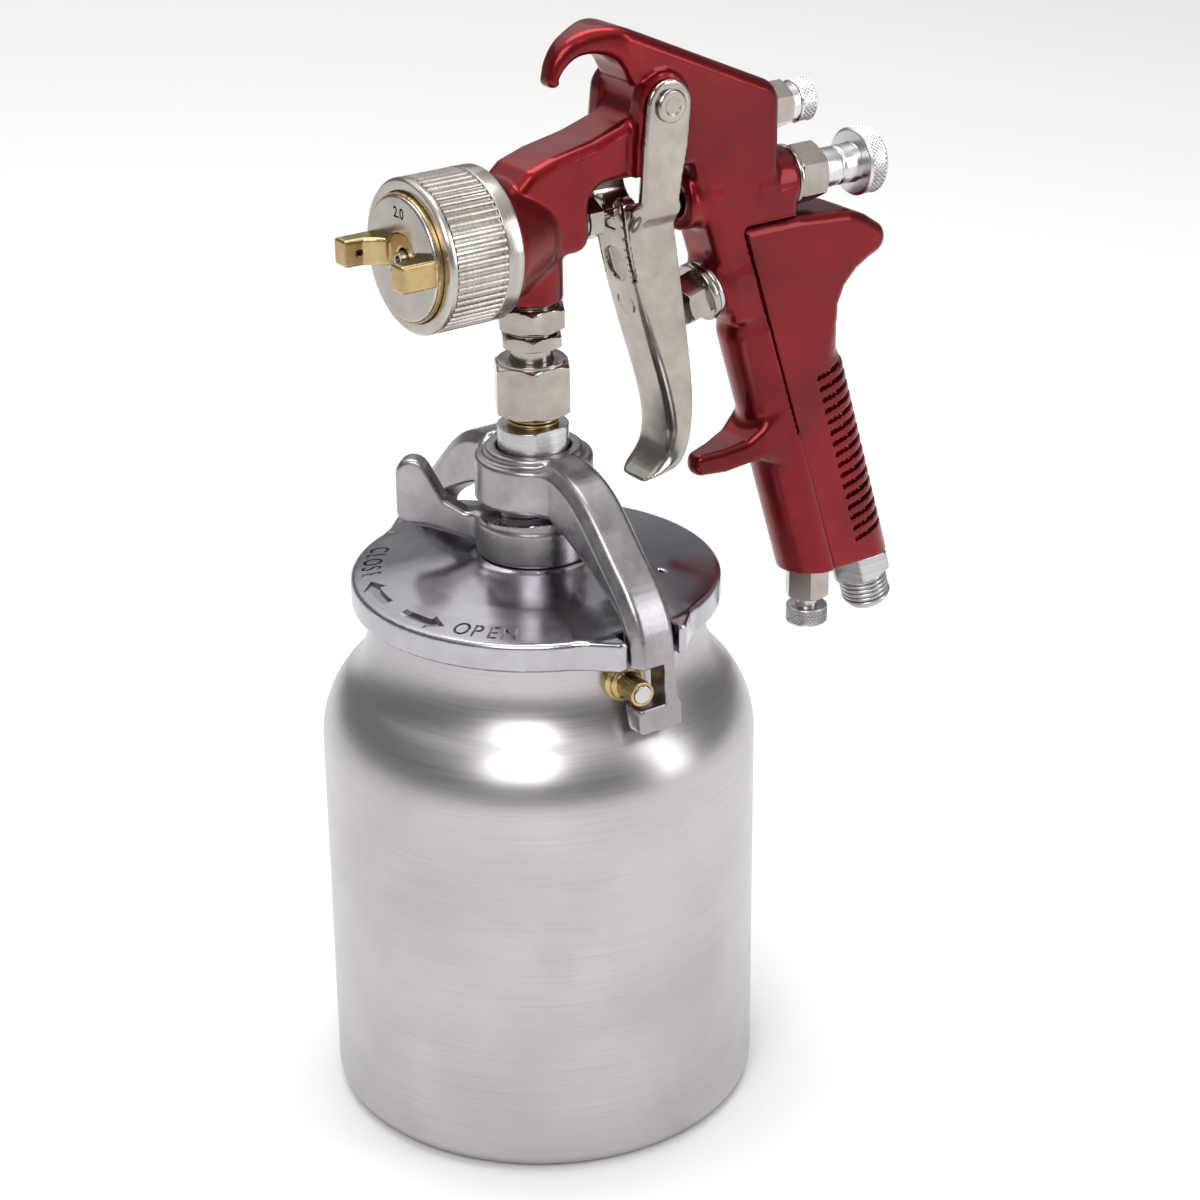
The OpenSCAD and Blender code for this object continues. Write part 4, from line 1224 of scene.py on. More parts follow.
class SPRAYGUN_OT_coupling(bpy.types.Operator):
    """Coupling nut, fluid inlet and its lock nut below the gun"""
    bl_idname = "spraygun.coupling"
    bl_label = "Fluid coupling"

    def execute(self, context):
        nickel = finish("nickel")
        nut = turned("nut", [(6.45, 181.2), (8.6, 181.2), (10.05, 182.1), (10.05, 193), (8.8, 193.8),
                             (8.2, 193.8),
                             (8.2, 194.6), (5.3, 194.6), (5.3, 191.6), (6.45, 191.6)], [(181.2, 193.8, 10)])
        piece("coupling_nut_hex", nut, nickel, "gun", ["coupling_nut"])
        inlet = turned("inlet", [(2.6, 190.2), (4.4, 189.9), (6.2, 190.6), (6.2, 191.5), (5.2, 191.5),
                                 (5.2, 197.8),
                                 (6.9, 197.8), (8.05, 198.4), (8.05, 200.4), (6.9, 201), (5.75, 201),
                                 (5.75, 218), (2.6, 218)],
                       [(197.8, 201, 8)])
        inlet = threaded(inlet, TREES["thread"], 6.4, 201, 212, 1.0, nickel)
        piece("fluid_inlet_nipple", inlet, None, "gun", ["fluid_inlet"])
        piece("inlet_locknut_hex", turned("locknut", nut_outline(202.3, 208, 8.9, 6.42), [(202.3, 208, 8.9)]),
              nickel, "gun", ["inlet_locknut"])
        return {"FINISHED"}


def body_outline():
    """Side of the bridge, hook and upper body, carried on past the seam so that its cut stays sharp."""
    return ([(-9, 238), (-4.2, 242.2), (2.8, 244.4), (13.7, 246.5)]
            + arc((20.2, 254.8), 6, -72, 40, 12) + arc((15.8, 256.9), 8.8, 22, 155, 16)
            + arc((6.5, 260.4), 1.6, -20, -190, 8)
            + flowing([(4.92, 260.7), (5.8, 264.8), (8.7, 268.9), (13.6, 271.4), (18.6, 272.3),
                       (23.4, 271.5), (28, 269.5)])
            + arc((62.5, 247), 6.5, 66, 0, 6)
            + [(69, 226), (75.5, 226), (75.5, 217.3), (80, 205), (104, 112), (90, 105), (FRONT_LOW, 112),
               FRONT, (56, 192.6), (42.6, 235.5)]
            + arc((17.6, 230.5), 5, 90, 180, 6) + arc((8.6, 224), 4, 0, -90, 5) + [(-9, 220)])


def raked(x, z, foot):
    """Distance behind the handle's raked line through (foot, HANDLE_Z), and distance up along it."""
    c, s = math.cos(RAKE), math.sin(RAKE)
    return (x - foot) * c + (z - HANDLE_Z) * s, (z - HANDLE_Z) * c - (x - foot) * s


def behind_seam(x, z):
    """Negative inside the region that belongs to the rear grip."""
    ex, ez = SEAM_LOW[0] - (SEAM_TOP[0] - 1), SEAM_LOW[1] - 216
    n = math.hypot(ex, ez)
    front = -((x - SEAM_LOW[0]) * -ez + (z - SEAM_LOW[1]) * ex) / n
    return meet(z - SEAM_TOP[1] + 0 * x, front, 1.6)


def flare_profile():
    """Half section of the flared front that takes the retaining ring."""
    return [(-24, -1), (-24, 14.5), (-13.2, 14.5), (-13.2, 16.2), (-11.6, 16), (-10, 15.4), (-4, 12.6),
            (0, 10.6), (3.4, 8), (6, 5), (8, -1)]


def gun_shape(x, y, z):
    """Bridge with the hook, front of the handle, flare, bosses, spur and all their bores."""
    edge = bpy.context.scene.spray_gun_sizes.edge_radius / MM
    dz = z - AXIS_Z
    r = np.sqrt(y * y + dz * dz)
    side = inside(x + 0 * z, z + 0 * x, body_outline())
    narrow = smooth((z - 253) / 6)
    half = HALF_THICK - narrow * (3.7 * smooth((24 - x) / 13) + 1.6 * smooth((14 - x) / 9))
    body = meet(side, (np.abs(y) - half) * 0.93, edge * (1 - 0.45 * smooth((14 - x) / 9) * narrow))
    back, up = raked(x, z, FRONT_LOW)
    handle = meet(np.sqrt(back ** 2 + y * y) - HALF_THICK, up - 80, 7.0)
    handle = np.maximum(handle, back - 1.0)
    body = join(body, handle, 2.5)
    flare = inside(x + 0 * r, r + 0 * x, flare_profile())
    body = join(body, flare, 0.35)
    spout = meet(np.sqrt(x * x + y * y) - 7.8, np.maximum(209 - z, z - AXIS_Z), 0.9)
    body = join(body, spout, 1.6)
    body = join(body, rod(x, y, dz, 42.2, 52, 7.6, 1.0), 1.5)
    body = join(body, rod(x, y, dz, 62, 75.5, 7.9, 0.9), 1.0)
    # seat of the air valve
    vx, vz = x - VALVE_AT[0], z - VALVE_AT[1]
    c, s = math.cos(RAKE), math.sin(RAKE)
    along, across = vx * c + vz * s, -vx * s + vz * c
    body = join(body, rod(along, across, y, -0.4, 8, 7.6, 0.8), 2.2)
    # spur under the trigger
    spur = [(71.6, 168), (66.5, 164.4), (61.6, 160.6), (55, 159)] + arc((50, 155.6), 2.9, 110, 262, 10) \
        + [(56, 152.8), (66, 155.2), (74, 152)]
    plan = arc((49.9, 0), 2.9, 255, 105, 8) + [(66, 7.4), (74, 7.6), (74, -7.6), (66, -7.4)]
    spur = meet(inside(x + 0 * z, z + 0 * x, spur), inside(x + 0 * y, y + 0 * x, plan), 1.7)
    body = join(body, spur, 2.0)
    # pads behind the trigger's ears
    ear = arc(PIVOT, 7.4, 0, 180, 16) + [(PIVOT[0] - 8.6, 236.4), (PIVOT[0] + 5, 236.4)]
    pad = meet(inside(x + 0 * z, z + 0 * x, ear), np.maximum(np.abs(y) - 10.4, 6 - np.abs(y)), 0.7)
    body = join(body, pad, 0.8)
    body = cut(body, meet(behind_seam(x, z) + 0 * y, z - 222, 0.1), 0.3)
    # the boss that carries the air control crosses the seam
    stub = rod(z, x - KNOB_X, y, HANDLE_Z - 4, 131, 5.0, 0.2)
    body = join(body, stub, 0.1)
    body = meet(body, HANDLE_Z - z + 0 * x + 0 * y, 0.35)
    # dark seam round the rear grip
    line = np.abs(behind_seam(x, z) - 0.45) - 0.45
    body = cut(body, np.maximum(np.maximum(line, 7.1 - np.abs(y)), x - 76), 0.15)
    # bores
    body = cut(body, rod(x, y, dz, -30, -16.2, 11.5), 0.2)
    body = cut(body, rod(x, y, dz, -20, -4.3, 6.0), 0.2)
    body = cut(body, rod(x, y, dz, -5, 14, 4.4), 0.2)
    body = cut(body, rod(x, y, dz, 40, 66, 4.4), 0.3)
    body = cut(body, rod(x, y, dz, 66, 80, 5.2), 0.2)
    body = cut(body, rod(z, x, y, 200, 218, 6.4), 0.3)
    body = cut(body, rod(x, y, z - FAN_Z, 52, 80, 4.0), 0.3)
    body = cut(body, rod(along, across, y, -3, 38, 4.6), 0.3)
    body = cut(body, rod(y, x - PIVOT[0], z - PIVOT[1], -20, 20, 2.6), 0.3)
    return cut(body, rod(z, x - KNOB_X, y, 100, 129, 3.2), 0.3)


GRIP_TOP = [(75.5, SEAM_TOP[1]), (92, 215.9), (97.8, 213.4)]
RIBS, RIB_PITCH, RIB_SLOT = 16, 3.32, 1.39
RIB_LOW = 7.6                   # lowest slot, measured up along the rake


def grip_shape(x, y, z):
    """Rear grip with its slots and the bores that reach into it."""
    outline = ([(40, SEAM_TOP[1])] + GRIP_TOP + arc((99.6, 206.9), 4.4, 48, -60, 10)
               + [(98.8, 201.8), (94.8, 199.6), (91.2, 196), (89.3, 191.6), (89.3, 187), (91.4, 179.6),
                  (FRONT[0] + (FRONT[1] - 176) * LEAN + 24.6, 176), (BACK_LOW + 8.2 + 3, 109), (60, 109),
                  (40, 150)])
    side = inside(x + 0 * z, z + 0 * x, outline)
    soft = 2.8 + 5.0 * smooth((190 - z) / 14)
    body = meet(side, np.abs(y) - HALF_THICK, soft + 0 * x)
    top = meet(np.abs(y) - HALF_THICK, z - SEAM_TOP[1] + 0 * x, 1.5)
    body = np.maximum(body, top)
    body = meet(body, behind_seam(x, z) + 0.05, 0.35)
    body = meet(body, HANDLE_Z - z + 0 * x + 0 * y, 0.4)
    back, up = raked(x, z, BACK_LOW)
    band = np.abs((up - RIB_LOW) % RIB_PITCH - RIB_SLOT / 2) - RIB_SLOT / 2
    band = np.maximum(band, np.maximum(7.5 - up, up - (RIB_LOW + RIB_PITCH * (RIBS - 1) + RIB_SLOT + 0.1)))
    slot = np.maximum(np.maximum(band, -(back + 4.5)), -(body + 1.35))
    body = cut(body, slot, 0.3)
    body = cut(body, rod(z, x - KNOB_X, y, 100, 131.2, 5.1), 0.1)
    inlet_along = -((x - BACK_LOW) * -math.sin(RAKE) + (z - HANDLE_Z) * math.cos(RAKE))
    across = (x - BACK_LOW) * math.cos(RAKE) + (z - HANDLE_Z) * math.sin(RAKE)
    body = cut(body, rod(inlet_along, across, y, -9, 3, 5.4), 0.3)
    vx, vz = x - VALVE_AT[0], z - VALVE_AT[1]
    along, off = vx * math.cos(RAKE) + vz * math.sin(RAKE), -vx * math.sin(RAKE) + vz * math.cos(RAKE)
    return cut(body, rod(along, off, y, -2, 25, 4.6), 0.2)


class SPRAYGUN_OT_casting(bpy.types.Operator):
    """Red lacquered casting: bridge with the hanging hook, barrel, spur, handle and its ribbed rear grip"""
    bl_idname = "spraygun.casting"
    bl_label = "Red casting"

    def execute(self, context):
        red = finish("lacquer")
        body = skin("gun_body", gun_shape, (-25, -17.5, 118), (92, 17.5, 274), 0.64)
        piece("gun_casting", body, red, "gun", ["gun_body"])
        grip = skin("grip_back", grip_shape, (58, -9, 118), (109, 9, 218.5), 0.42)
        piece("rear_grip", grip, red, "gun", ["grip_back"])
        return {"FINISHED"}


def cap_face_shape(x, y, z):
    dz = z - AXIS_Z
    r = np.sqrt(y * y + dz * dz)
    disc = inside(x + 0 * r, r + 0 * x, [(-35.2, -1), (-35.2, 14.3), (-34.8, 14.7), (-30, 14.7), (-30, 13),
                                         (-31.6, 12.6), (-33, 9), (-33.4, -1)])
    channel = np.maximum(np.abs(dz) - 2.7, np.abs(y) - 11)
    return cut(disc, np.minimum(r - 6, channel) + 0 * x, 0.1)


def cap_brass_shape(x, y, z):
    dz = z - AXIS_Z
    r = np.sqrt(y * y + dz * dz)
    rim = inside(x + 0 * r, r + 0 * x, [(-34.6, 14.75), (-34.6, 15.2), (-31.1, 15.2), (-31.1, 16.6),
                                        (-28.6, 16.6), (-28.6, 14.75)])
    out = np.abs(y)
    dish = -34.5 - 0.75 * np.clip(r / 5.9, 0, 1) ** 2
    boss = np.maximum(np.maximum(dish - x, x + 31.5), r - 5.9)
    channel = np.maximum(np.maximum(-35.25 - x, x + 31.5),
                         np.maximum(np.abs(dz) - 2.6, np.maximum(out - 11, 5 - out)))
    boss = meet(join(boss, channel, 0.3), 2.5 - r + 0 * x, 0.3)
    plan = [(-44, 10), (-44, 14.5), (-34.6, 14.5), (-34.6, 5.6), (-37, 8.2), (-39.4, 9.7)]
    horn = meet(inside(x + 0 * out, out + 0 * x, plan) + 0 * z, np.abs(dz) - 3.3, 0.8)
    hole = np.sqrt(((x + 45.9 - out * 0.577) * 0.866) ** 2 + dz * dz) - 0.8
    horn = cut(horn, np.maximum(hole, out - 12.2), 0.1)
    return join(join(rim, boss, 0.0), horn, 0.4)


class SPRAYGUN_OT_nozzle(bpy.types.Operator):
    """Fluid nozzle, baffle, fluted retaining ring and the horned air cap"""
    bl_idname = "spraygun.nozzle"
    bl_label = "Nozzle and air cap"

    def execute(self, context):
        sizes = context.scene.spray_gun_sizes
        brass, nickel = finish("brass"), finish("nickel_x")
        tip = [(1, -36.2), (1.7, -36.2), (2, -33.2), (4, -31.2), (6.2, -24), (7.45, -24), (7.45, -20.6),
               (8, -20.6), (8, -17), (6, -17), (6, -4.4), (3, -4.4), (3, -29), (1, -34.5)]
        piece("fluid_tip", turned("tip", tip, [(-24, -20.6, 7.4)], ease=0.15), nickel, "gun",
              ["fluid_nozzle"], to_x())
        dress("nozzle_gasket", finish("fibre"))
        dress("air_baffle", brass)
        ring = [(15.4, -33.4), (17.7, -33.4), (18.3, -32.7), (18.3, -31.5), (17.65, -31.2), (17.65, -18.0),
                (18.3, -17.7),
                (18.3, -13.8), (17.9, -13.3), (14.56, -13.3), (14.56, -24), (16.9, -24), (16.9, -31.2),
                (15.4, -31.2)]
        ring = turned("ring", ring, ease=0.2, steps=144)
        ring = grown(ring, TREES["flute"], {"Radius": 17.62 * MM, "Middle": -24.55 * MM, "Length": 13.4 * MM,
                                           "Ridge": 0.66 * MM, "Count": sizes.ring_flutes}, nickel)
        piece("cap_ring_fluted", ring, None, "cap_ring", ["cap_ring"], to_x())
        face = skin("cap_face", cap_face_shape, (-36.5, -16, AXIS_Z - 16), (-29, 16, AXIS_Z + 16), 0.34)
        tool = word_solid("2.0", 3.6, 3)
        tool.transform(Matrix.Translation((-35.2 * MM, 0.5 * MM, (AXIS_Z + 10.6) * MM))
                       @ Matrix.Rotation(-math.pi / 2, 4, "Z")
                       @ Matrix.Rotation(math.pi / 2, 4, "X") @ Matrix.Translation((0, 0, -1.15 * MM)))
        piece("cap_face", engraved(face, [tool]), nickel, "air_cap", ["air_cap"])
        horns = skin("cap_horns", cap_brass_shape, (-45, -17.5, AXIS_Z - 17.5), (-28, 17.5, AXIS_Z + 17.5),
                     0.3)
        piece("cap_horns", horns, brass, "air_cap", ["air_cap"])
        return {"FINISHED"}


class SPRAYGUN_OT_needle(bpy.types.Operator):
    """Fluid needle with its packing, gland, spring, bush and knob"""
    bl_idname = "spraygun.needle"
    bl_label = "Needle and fluid control"

    def execute(self, context):
        pitch = context.scene.spray_gun_sizes.knurl_pitch
        nickel, alloy = finish("nickel"), finish("turned_x")
        dress("needle_packing", finish("packing"))
        gland = [(1.27, 7), (4.35, 7), (4.35, 14.3), (5.25, 14.4), (5.25, 18.4), (1.27, 18.4)]
        piece("gland_nut", turned("gland", gland, [(14.4, 18.4, 5.2)]), nickel, "gun", ["packing_gland"],
              to_x())
        needle = [(0, -35.6), (0.2, -35.6), (0.85, -34), (1.2, -32.4), (1.2, 24.4), (2.4, 25.2), (3.2, 26.4),
                  (3.2, 29), (1.2, 29),
                  (1.2, 46.6), (3.4, 46.6), (3.4, 48.6), (1.2, 48.6), (1.2, 80), (0, 80)]
        piece("needle_rod", turned("needle", needle, ease=0.15, steps=64), finish("steel"), "needle",
              ["fluid_needle"], to_x())
        dress("needle_spring", finish("spring"))
        dress("spring_seat", nickel)
        bush = [(3.47, 66.1), (5.15, 66.1), (5.15, 75.5), (7.6, 75.5), (8, 75.9), (8, 76.7), (7.3, 77),
                (7.85, 77.6), (7.85, 84.6), (6.9, 85.2), (3.47, 85.2)]
        piece("fluid_bush_hex", turned("bush", bush, [(77.05, 85.2, 7.8)]), nickel, "gun", ["fluid_bush"],
              to_x())
        knob = [(0, 94), (1.27, 94), (1.27, 63.9), (3.4, 63.9), (3.4, 85.5), (4.4, 85.5), (5, 86.1),
                (5, 91.2), (4.6, 91.5), (4.6, 92.1), (5, 92.4), (5, 97.5), (8.0, 97.5), (8.7, 98.2),
                (8.28, 98.5), (8.28, 102.2), (8.7, 102.5), (8, 103.2), (0, 103.2)]
        knob = turned("knob", knob, ease=0.2)
        knob = knurled(knob, TREES["knurl"], 8.7, 98.5, 102.2, alloy, pitch)
        piece("fluid_knob_knurled", knob, None, "fluid_knob", ["fluid_knob"], to_x())
        return {"FINISHED"}


BLADE_FRONT = [(22.2, 228.6), (22.9, 223), (23.6, 217), (26.7, 205), (30.5, 192.6), (33.7, 183), (35.6, 176),
               (36.5, 170.6), (36.5, 166.8), (35.6, 163.2), (33.2, 160.2), (29.6, 157)]
CHEEK_BACK = [(30.7, 155.8), (33.6, 156.4), (36.6, 158.6), (38.9, 161.4), (40.7, 165), (41.7, 169.4),
              (42.1, 175), (41.9, 181), (41, 189), (39, 204), (36.9, 218), (35.4, 228.6)]


SHEET = 1.4                                 # thickness of the pressed sheet
SLIT_Y, SLIT_HALF, SLIT_LOW = 5.9, 0.7, 209.6


def trigger_shape(x, y, z):
    """Pressed blade with its cheeks, ears, slot, slits and window."""
    jog = 3.8 * smooth((z - 221.5) / 7)
    out = np.abs(y) - jog
    blade = flowing(BLADE_FRONT)
    front = inside(x + 0 * z, z + 0 * x, [(22.2, 262)] + blade + [(22, 150.2), (60, 145), (70, 262)])
    shell = meet(front, out - 8.2, 3.8)
    shell = np.maximum(shell, -(shell + SHEET))
    extent = (blade + flowing(CHEEK_BACK) + [(35, 230), (35.8, 235), (37.4, 242.6)]
              + arc(PIVOT, 6.2, 0, 180, 18) + [(24.9, 244), (24.3, 234), (24.1, 230.4)])
    shape = meet(shell, inside(x + 0 * z, z + 0 * x, extent), 0.5)
    tip = np.sqrt(((z - 163.4) / 0.93) ** 2 + y * y) - 8.3 + 0 * x
    shape = meet(shape, np.where(z < 163.4, tip, -5 + 0 * tip), 0.4)
    slot = meet(np.maximum(np.abs(y) - 2.1, 222.2 - z), x - 30, 0.1)
    shape = cut(shape, slot, 0.5)
    slit = np.maximum(np.maximum(np.abs(np.abs(y) - SLIT_Y) - SLIT_HALF, SLIT_LOW - z), x - 26.6)
    shape = cut(shape, slit, 0.3)
    window = np.sqrt(y * y + ((z - 213.2) / 1.12) ** 2) - 3.9 + 0 * x
    shape = cut(shape, np.maximum(window, x - 30), 0.5)
    # pressed half moon below the window
    moon = np.abs(np.sqrt((y + 0.6) ** 2 + (z - 202.6) ** 2) - 3.1) - 0.35 + 0 * x
    moon = np.maximum(np.maximum(moon, z - 204.6), -(front + 0.35))
    shape = cut(shape, np.maximum(moon, x - 32), 0.15)
    return cut(shape, rod(y, x - PIVOT[0], z - PIVOT[1], -20, 20, 2.66), 0.2)


class SPRAYGUN_OT_trigger(bpy.types.Operator):
    """Pressed trigger, its pivot pin and the clip"""
    bl_idname = "spraygun.trigger"
    bl_label = "Trigger"

    def execute(self, context):
        mesh = skin("trigger", trigger_shape, (21, -13.2, 154.6), (43, 13.2, 260), 0.4)
        piece("trigger_pressed", mesh, finish("nickel"), "trigger", ["trigger"])
        pin = [(0, -13.6), (1.7, -13.6), (1.9, -13.4), (1.9, -12.3), (2.6, -12.2), (2.6, 12.1), (4.05, 12.1),
               (4.05, 12.8), (3.6, 13.2), (2.2, 13.2), (2.0, 13.0), (0, 13.0)]
        piece("pivot_pin", turned("pin", pin, ease=0.15, steps=64), finish("nickel"), "gun", ["trigger_pin"],
              on_pivot())
        dress("pin_clip", finish("spring"))
        return {"FINISHED"}


class SPRAYGUN_OT_air_valve(bpy.types.Operator):
    """Air valve behind the trigger"""
    bl_idname = "spraygun.air_valve"
    bl_label = "Air valve"

    def execute(self, context):
        nickel = finish("nickel")
        body = [(1.67, -9.8), (5.5, -9.8), (6.55, -9.1), (6.55, -4.2), (5.9, -3.8), (7.3, -3.8), (7.7, -3.4),
                (7.7, -2), (7.3, -1.65), (4.55, -1.65), (4.55, 7.3), (1.67, 7.3)]
        piece("valve_body_hex", turned("valve", body, [(-9.8, -3.85, 6.5)]), nickel, "gun", ["valve_body"],
              on_valve())
        washer = ring_outline(-1.6, -0.42, 7.4, 4.6)
        piece("valve_washer_ring", turned("washer", washer), finish("steel"), "gun", ["valve_washer"],
              on_valve())
        stem = [(0, -21.6), (1.6, -21.6), (1.6, 7.6), (4, 7.6), (4, 9.6), (0, 9.6)]
        piece("valve_stem_rod", turned("stem", stem, ease=0.4, steps=48), finish("steel"), "valve_stem",
              ["valve_stem"], on_valve())
        dress("valve_spring", finish("spring"))
        return {"FINISHED"}


class SPRAYGUN_OT_controls(bpy.types.Operator):
    """Fan control, air control and the air inlet"""
    bl_idname = "spraygun.controls"
    bl_label = "Controls and air inlet"

    def execute(self, context):
        sizes = context.scene.spray_gun_sizes
        nickel, alloy, alloy_z = finish("nickel"), finish("turned_x"), finish("turned_z")
        bush = [(2.27, 60), (3.95, 60), (3.95, 68.9), (5.3, 69), (6.15, 69.6), (6.15, 74.4), (5.2, 75),
                (2.27, 75)]
        piece("fan_bush_hex", turned("bush", bush, [(69, 75, 6.1)]), nickel, "gun", ["fan_bush"],
              to_x(FAN_Z))
        stem = [(0, 52.6), (0.8, 52.6), (2.2, 55), (2.2, 75.3), (1.5, 75.3), (1.5, 79), (0, 79)]
        piece("fan_stem_rod", turned("stem", stem, ease=0.1, steps=48), finish("steel"), "fan_stem",
              ["fan_stem"], to_x(FAN_Z))
        knob = [(0, 79.1), (1.57, 79.1), (1.57, 75.4), (4.7, 75.4), (4.7, 77.5), (5.0, 77.6), (5.4, 78.0),
                (5.0, 78.2), (5.0, 81.8), (5.4, 82.0), (5.0, 82.4), (0, 82.4)]
        knob = knurled(turned("knob", knob, ease=0.15), TREES["knurl"], 5.4, 78.2, 81.8, alloy,
                       sizes.knurl_pitch)
        piece("fan_knob_knurled", knob, None, "fan_knob", ["fan_knob"], to_x(FAN_Z))
        low = [(1.97, 110), (5.3, 110), (6.15, 110.7), (6.15, 118.2), (5.3, 118.9), (3.15, 119), (3.15, 126),
               (1.97, 126)]
        piece("air_bush_hex", turned("bush", low, [(110, 119, 6.1)]), nickel, "gun", ["air_bush"],
              to_z(KNOB_X))
        stem = [(0, 104), (1.3, 104), (1.3, 108.6), (1.9, 108.6), (1.9, 126), (1, 128), (0, 128)]
        piece("air_stem_rod", turned("stem", stem, ease=0.1, steps=48), finish("steel"), "air_stem",
              ["air_stem"], to_z(KNOB_X))
        knob = [(0, 101.2), (3, 101.6), (5.15, 102.4), (5.55, 102.8), (5.15, 103), (5.15, 106.5),
                (5.55, 106.8), (5.2, 107.2),
                (2.9, 107.2), (2.9, 109.8), (1.97, 109.8), (1.97, 108.6), (1.37, 108.6), (1.37, 103.9),
                (0, 103.9)]
        knob = knurled(turned("knob", knob, ease=0.15), TREES["knurl"], 5.55, 103, 106.5, alloy_z,
                       sizes.knurl_pitch)
        piece("air_knob_knurled", knob, None, "air_knob", ["air_knob"], to_z(KNOB_X))
        hexagon = [(3.2, -3), (8.35, -3), (8.35, 6.2), (7.3, 6.9), (3.2, 6.9)]
        hexagon = turned("hexagon", hexagon, [(-3, 6.9, 8.6)], ease=0.1)
        hexagon.transform(on_inlet())
        bm = bmesh.new()
        bm.from_mesh(hexagon)
        level = HANDLE_Z * MM
        found = bmesh.ops.bisect_plane(bm, geom=bm.verts[:] + bm.edges[:] + bm.faces[:],
                                       plane_co=(0, 0, level), plane_no=(0, 0, 1), clear_outer=True)
        edges = [e for e in found["geom_cut"] if isinstance(e, bmesh.types.BMEdge)]
        bmesh.ops.holes_fill(bm, edges=edges, sides=0)
        bm.to_mesh(hexagon)
        bm.free()
        root = [(3.2, -8.6), (5.35, -8.6), (5.35, 6.8), (5.75, 6.8), (5.75, 15.6), (5.2, 16.5), (4.6, 16.5),
                (3.2, 14.5)]
        root = turned("thread", root, ease=0.15)
        root = threaded(root, TREES["thread"], 6.58, 7.0, 16.1, sizes.thread_pitch / MM, alloy_z)
        root.transform(on_inlet())
        piece("air_inlet_nipple", merged("inlet", [hexagon, root]), alloy_z, "gun", ["air_inlet"])
        return {"FINISHED"}


# ---- studio ----

def floor_paint(colour):
    material = bpy.data.materials.new("Studio floor")
    material.use_nodes = True
    nodes, links = material.node_tree.nodes, material.node_tree.links
    nodes.clear()
    place = nodes.new("ShaderNodeTexCoord")
    place.label = "Place on the floor"
    paper = nodes.new("ShaderNodeTexNoise")
    paper.label = "Paper grain"
    paper.inputs["Scale"].default_value = 300.0
    tone = nodes.new("ShaderNodeValToRGB")
    tone.label = "Paper tone"
    tone.color_ramp.elements[0].color = (*[c * 0.985 for c in colour], 1)
    tone.color_ramp.elements[1].color = (*colour, 1)
    shader = nodes.new("ShaderNodeBsdfPrincipled")
    shader.label = "Paper"
    shader.inputs["Roughness"].default_value = 0.85
    output = nodes.new("ShaderNodeOutputMaterial")
    links.new(place.outputs["Object"], paper.inputs["Vector"])
    links.new(paper.outputs["Fac"], tone.inputs["Fac"])
    links.new(tone.outputs["Color"], shader.inputs["Base Color"])
    links.new(shader.outputs["BSDF"], output.inputs["Surface"])
    lay_out(material.node_tree)
    return material


AIM = (0.01, 0, 0.14)
LIGHTS = (("key", (-0.75, -0.75, 1.0), AIM, (0.7, 0.7), 8.5),
          ("fill", (0.75, -0.95, 0.55), AIM, (0.35, 0.9), 4),
          ("top", (0.1, 0.15, 1.35), AIM, (0.9, 0.6), 9),
          ("back", (0.3, 1.5, 1.3), (0.2, 1.6, 0), (2.6, 1.4), 8))
LENS, SENSOR = 88.5, 36
CAMERA_TURN, CAMERA_RISE, CAMERA_ROLL = -35.3, 24.2, -0.57      # degrees
CAMERA_FAR = 0.728
CAMERA_TARGET = (0.0128, -0.00907, 0.131)


def soft_light(name, at, aim, size, power):
    """Rectangular lamp at a place, turned towards aim, in metres and watts."""
    light = bpy.data.lights.new(name, "AREA")
    light.shape = "RECTANGLE"
    light.size, light.size_y = size
    light.energy = power
    obj = bpy.data.objects.new(name, light)
    obj.location = at
    obj.rotation_euler = (Vector(aim) - Vector(at)).to_track_quat("-Z", "Y").to_euler()
    bpy.context.scene.collection.objects.link(obj)
    return obj


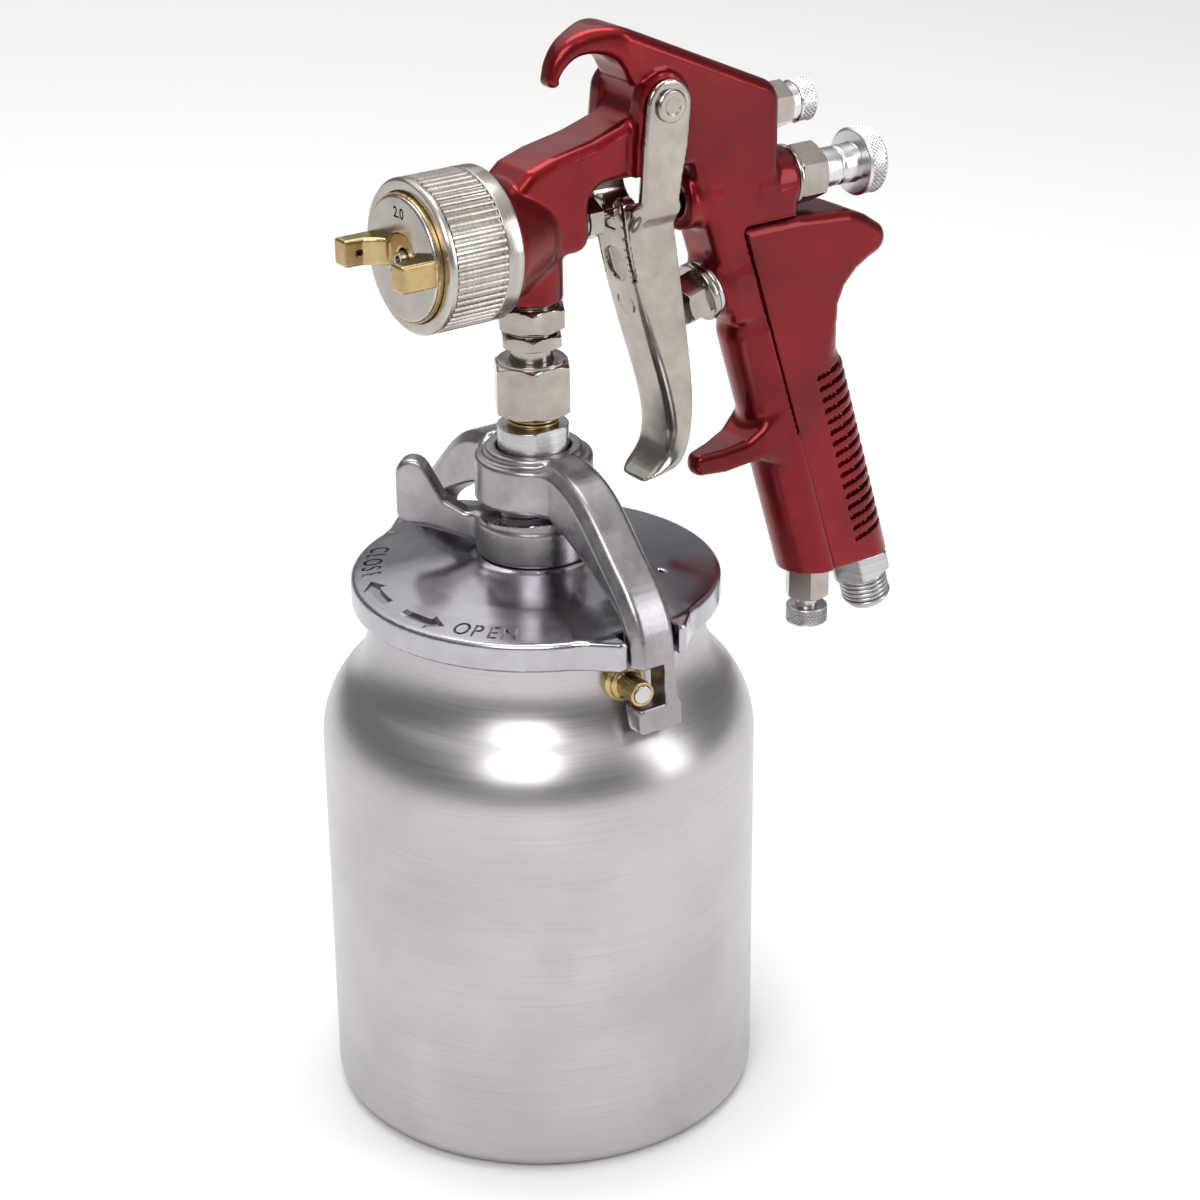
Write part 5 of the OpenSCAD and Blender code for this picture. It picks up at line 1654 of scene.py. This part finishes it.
class SPRAYGUN_OT_stage(bpy.types.Operator):
    """Pale floor, soft lights and the camera"""
    bl_idname = "spraygun.stage"
    bl_label = "Studio"

    def execute(self, context):
        scene = context.scene
        bm = bmesh.new()
        bmesh.ops.create_grid(bm, x_segments=1, y_segments=1, size=6.0)
        mesh = bpy.data.meshes.new("floor")
        bm.to_mesh(mesh)
        bm.free()
        mesh.transform(Matrix.Translation((0, 0, -0.0002)))
        floor = bpy.data.objects.new("floor", mesh)
        mesh.materials.append(floor_paint(tuple(scene.spray_gun_colours.floor)))
        scene.collection.objects.link(floor)
        world = bpy.data.worlds.new("Studio")
        scene.world = world
        world.use_nodes = True
        nodes, links = world.node_tree.nodes, world.node_tree.links
        nodes.clear()
        place = nodes.new("ShaderNodeTexCoord")
        place.label = "Direction"
        split = nodes.new("ShaderNodeSeparateXYZ")
        split.label = "Height"
        ramp = nodes.new("ShaderNodeValToRGB")
        ramp.label = "Dim walls, bright ceiling"
        ramp.color_ramp.elements[0].position = 0.0
        ramp.color_ramp.elements[0].color = (0.3, 0.3, 0.31, 1)
        ramp.color_ramp.elements[1].position = 0.82
        ramp.color_ramp.elements[1].color = (1.0, 0.99, 0.97, 1)
        wall = ramp.color_ramp.elements.new(0.5)
        wall.color = (0.2, 0.2, 0.21, 1)
        back = nodes.new("ShaderNodeBackground")
        back.label = "Studio walls"
        back.inputs["Strength"].default_value = 0.9
        output = nodes.new("ShaderNodeOutputWorld")
        links.new(place.outputs["Generated"], split.inputs[0])
        links.new(split.outputs["Z"], ramp.inputs["Fac"])
        links.new(ramp.outputs["Color"], back.inputs["Color"])
        links.new(back.outputs["Background"], output.inputs["Surface"])
        lay_out(world.node_tree)
        for light in LIGHTS:
            soft_light(*light)
        scene.view_settings.view_transform = "Standard"
        camera = bpy.data.cameras.new("camera")
        camera.lens = LENS
        camera.sensor_width = SENSOR
        camera.clip_start = 0.01
        obj = bpy.data.objects.new("camera", camera)
        azimuth, elevation = math.radians(CAMERA_TURN), math.radians(CAMERA_RISE)
        back_way = Vector((math.sin(azimuth) * math.cos(elevation), -math.cos(azimuth) * math.cos(elevation),
                           math.sin(elevation)))
        target = Vector(CAMERA_TARGET)
        turn = (-back_way).to_track_quat("-Z", "Y").to_matrix().to_4x4()
        obj.matrix_world = (Matrix.Translation(target + back_way * CAMERA_FAR) @ turn
                            @ Matrix.Rotation(math.radians(CAMERA_ROLL), 4, "Z"))
        scene.collection.objects.link(obj)
        scene.camera = obj
        return {"FINISHED"}


ORDER = ("stage", "cup", "lid", "cam_lever", "yoke", "coupling", "casting", "nozzle", "needle", "trigger",
         "air_valve", "controls")


class SPRAYGUN_PT_panel(bpy.types.Panel):
    """Sizes, colours and the pieces in the order they are made"""
    bl_idname = "SPRAYGUN_PT_panel"
    bl_label = "Spray gun"
    bl_space_type = "VIEW_3D"
    bl_region_type = "UI"
    bl_category = "Spray Gun"

    def draw(self, context):
        for group in (context.scene.spray_gun_sizes, context.scene.spray_gun_colours):
            for name in group.__annotations__:
                self.layout.prop(group, name)
        for name in ORDER:
            self.layout.operator(f"spraygun.{name}")


CLASSES = (SprayGunSizes, SprayGunColours, SPRAYGUN_OT_stage, SPRAYGUN_OT_cup, SPRAYGUN_OT_lid,
           SPRAYGUN_OT_cam_lever, SPRAYGUN_OT_yoke, SPRAYGUN_OT_coupling, SPRAYGUN_OT_casting,
           SPRAYGUN_OT_nozzle, SPRAYGUN_OT_needle, SPRAYGUN_OT_trigger, SPRAYGUN_OT_air_valve,
           SPRAYGUN_OT_controls, SPRAYGUN_PT_panel)
TREES = {}


def register():
    for c in CLASSES:
        bpy.utils.register_class(c)
    bpy.types.Scene.spray_gun_sizes = bpy.props.PointerProperty(type=SprayGunSizes)
    bpy.types.Scene.spray_gun_colours = bpy.props.PointerProperty(type=SprayGunColours)


def unregister():
    del bpy.types.Scene.spray_gun_sizes
    del bpy.types.Scene.spray_gun_colours
    for c in reversed(CLASSES):
        bpy.utils.unregister_class(c)


def main():
    register()
    TREES.update(knurl=knurl_tree(), flute=flute_tree(), thread=thread_tree())
    for name in ORDER:
        result = getattr(bpy.ops.spraygun, name)()
        if "FINISHED" not in result:
            raise RuntimeError(f"{name} did not finish")


if __name__ == "__main__":
    main()
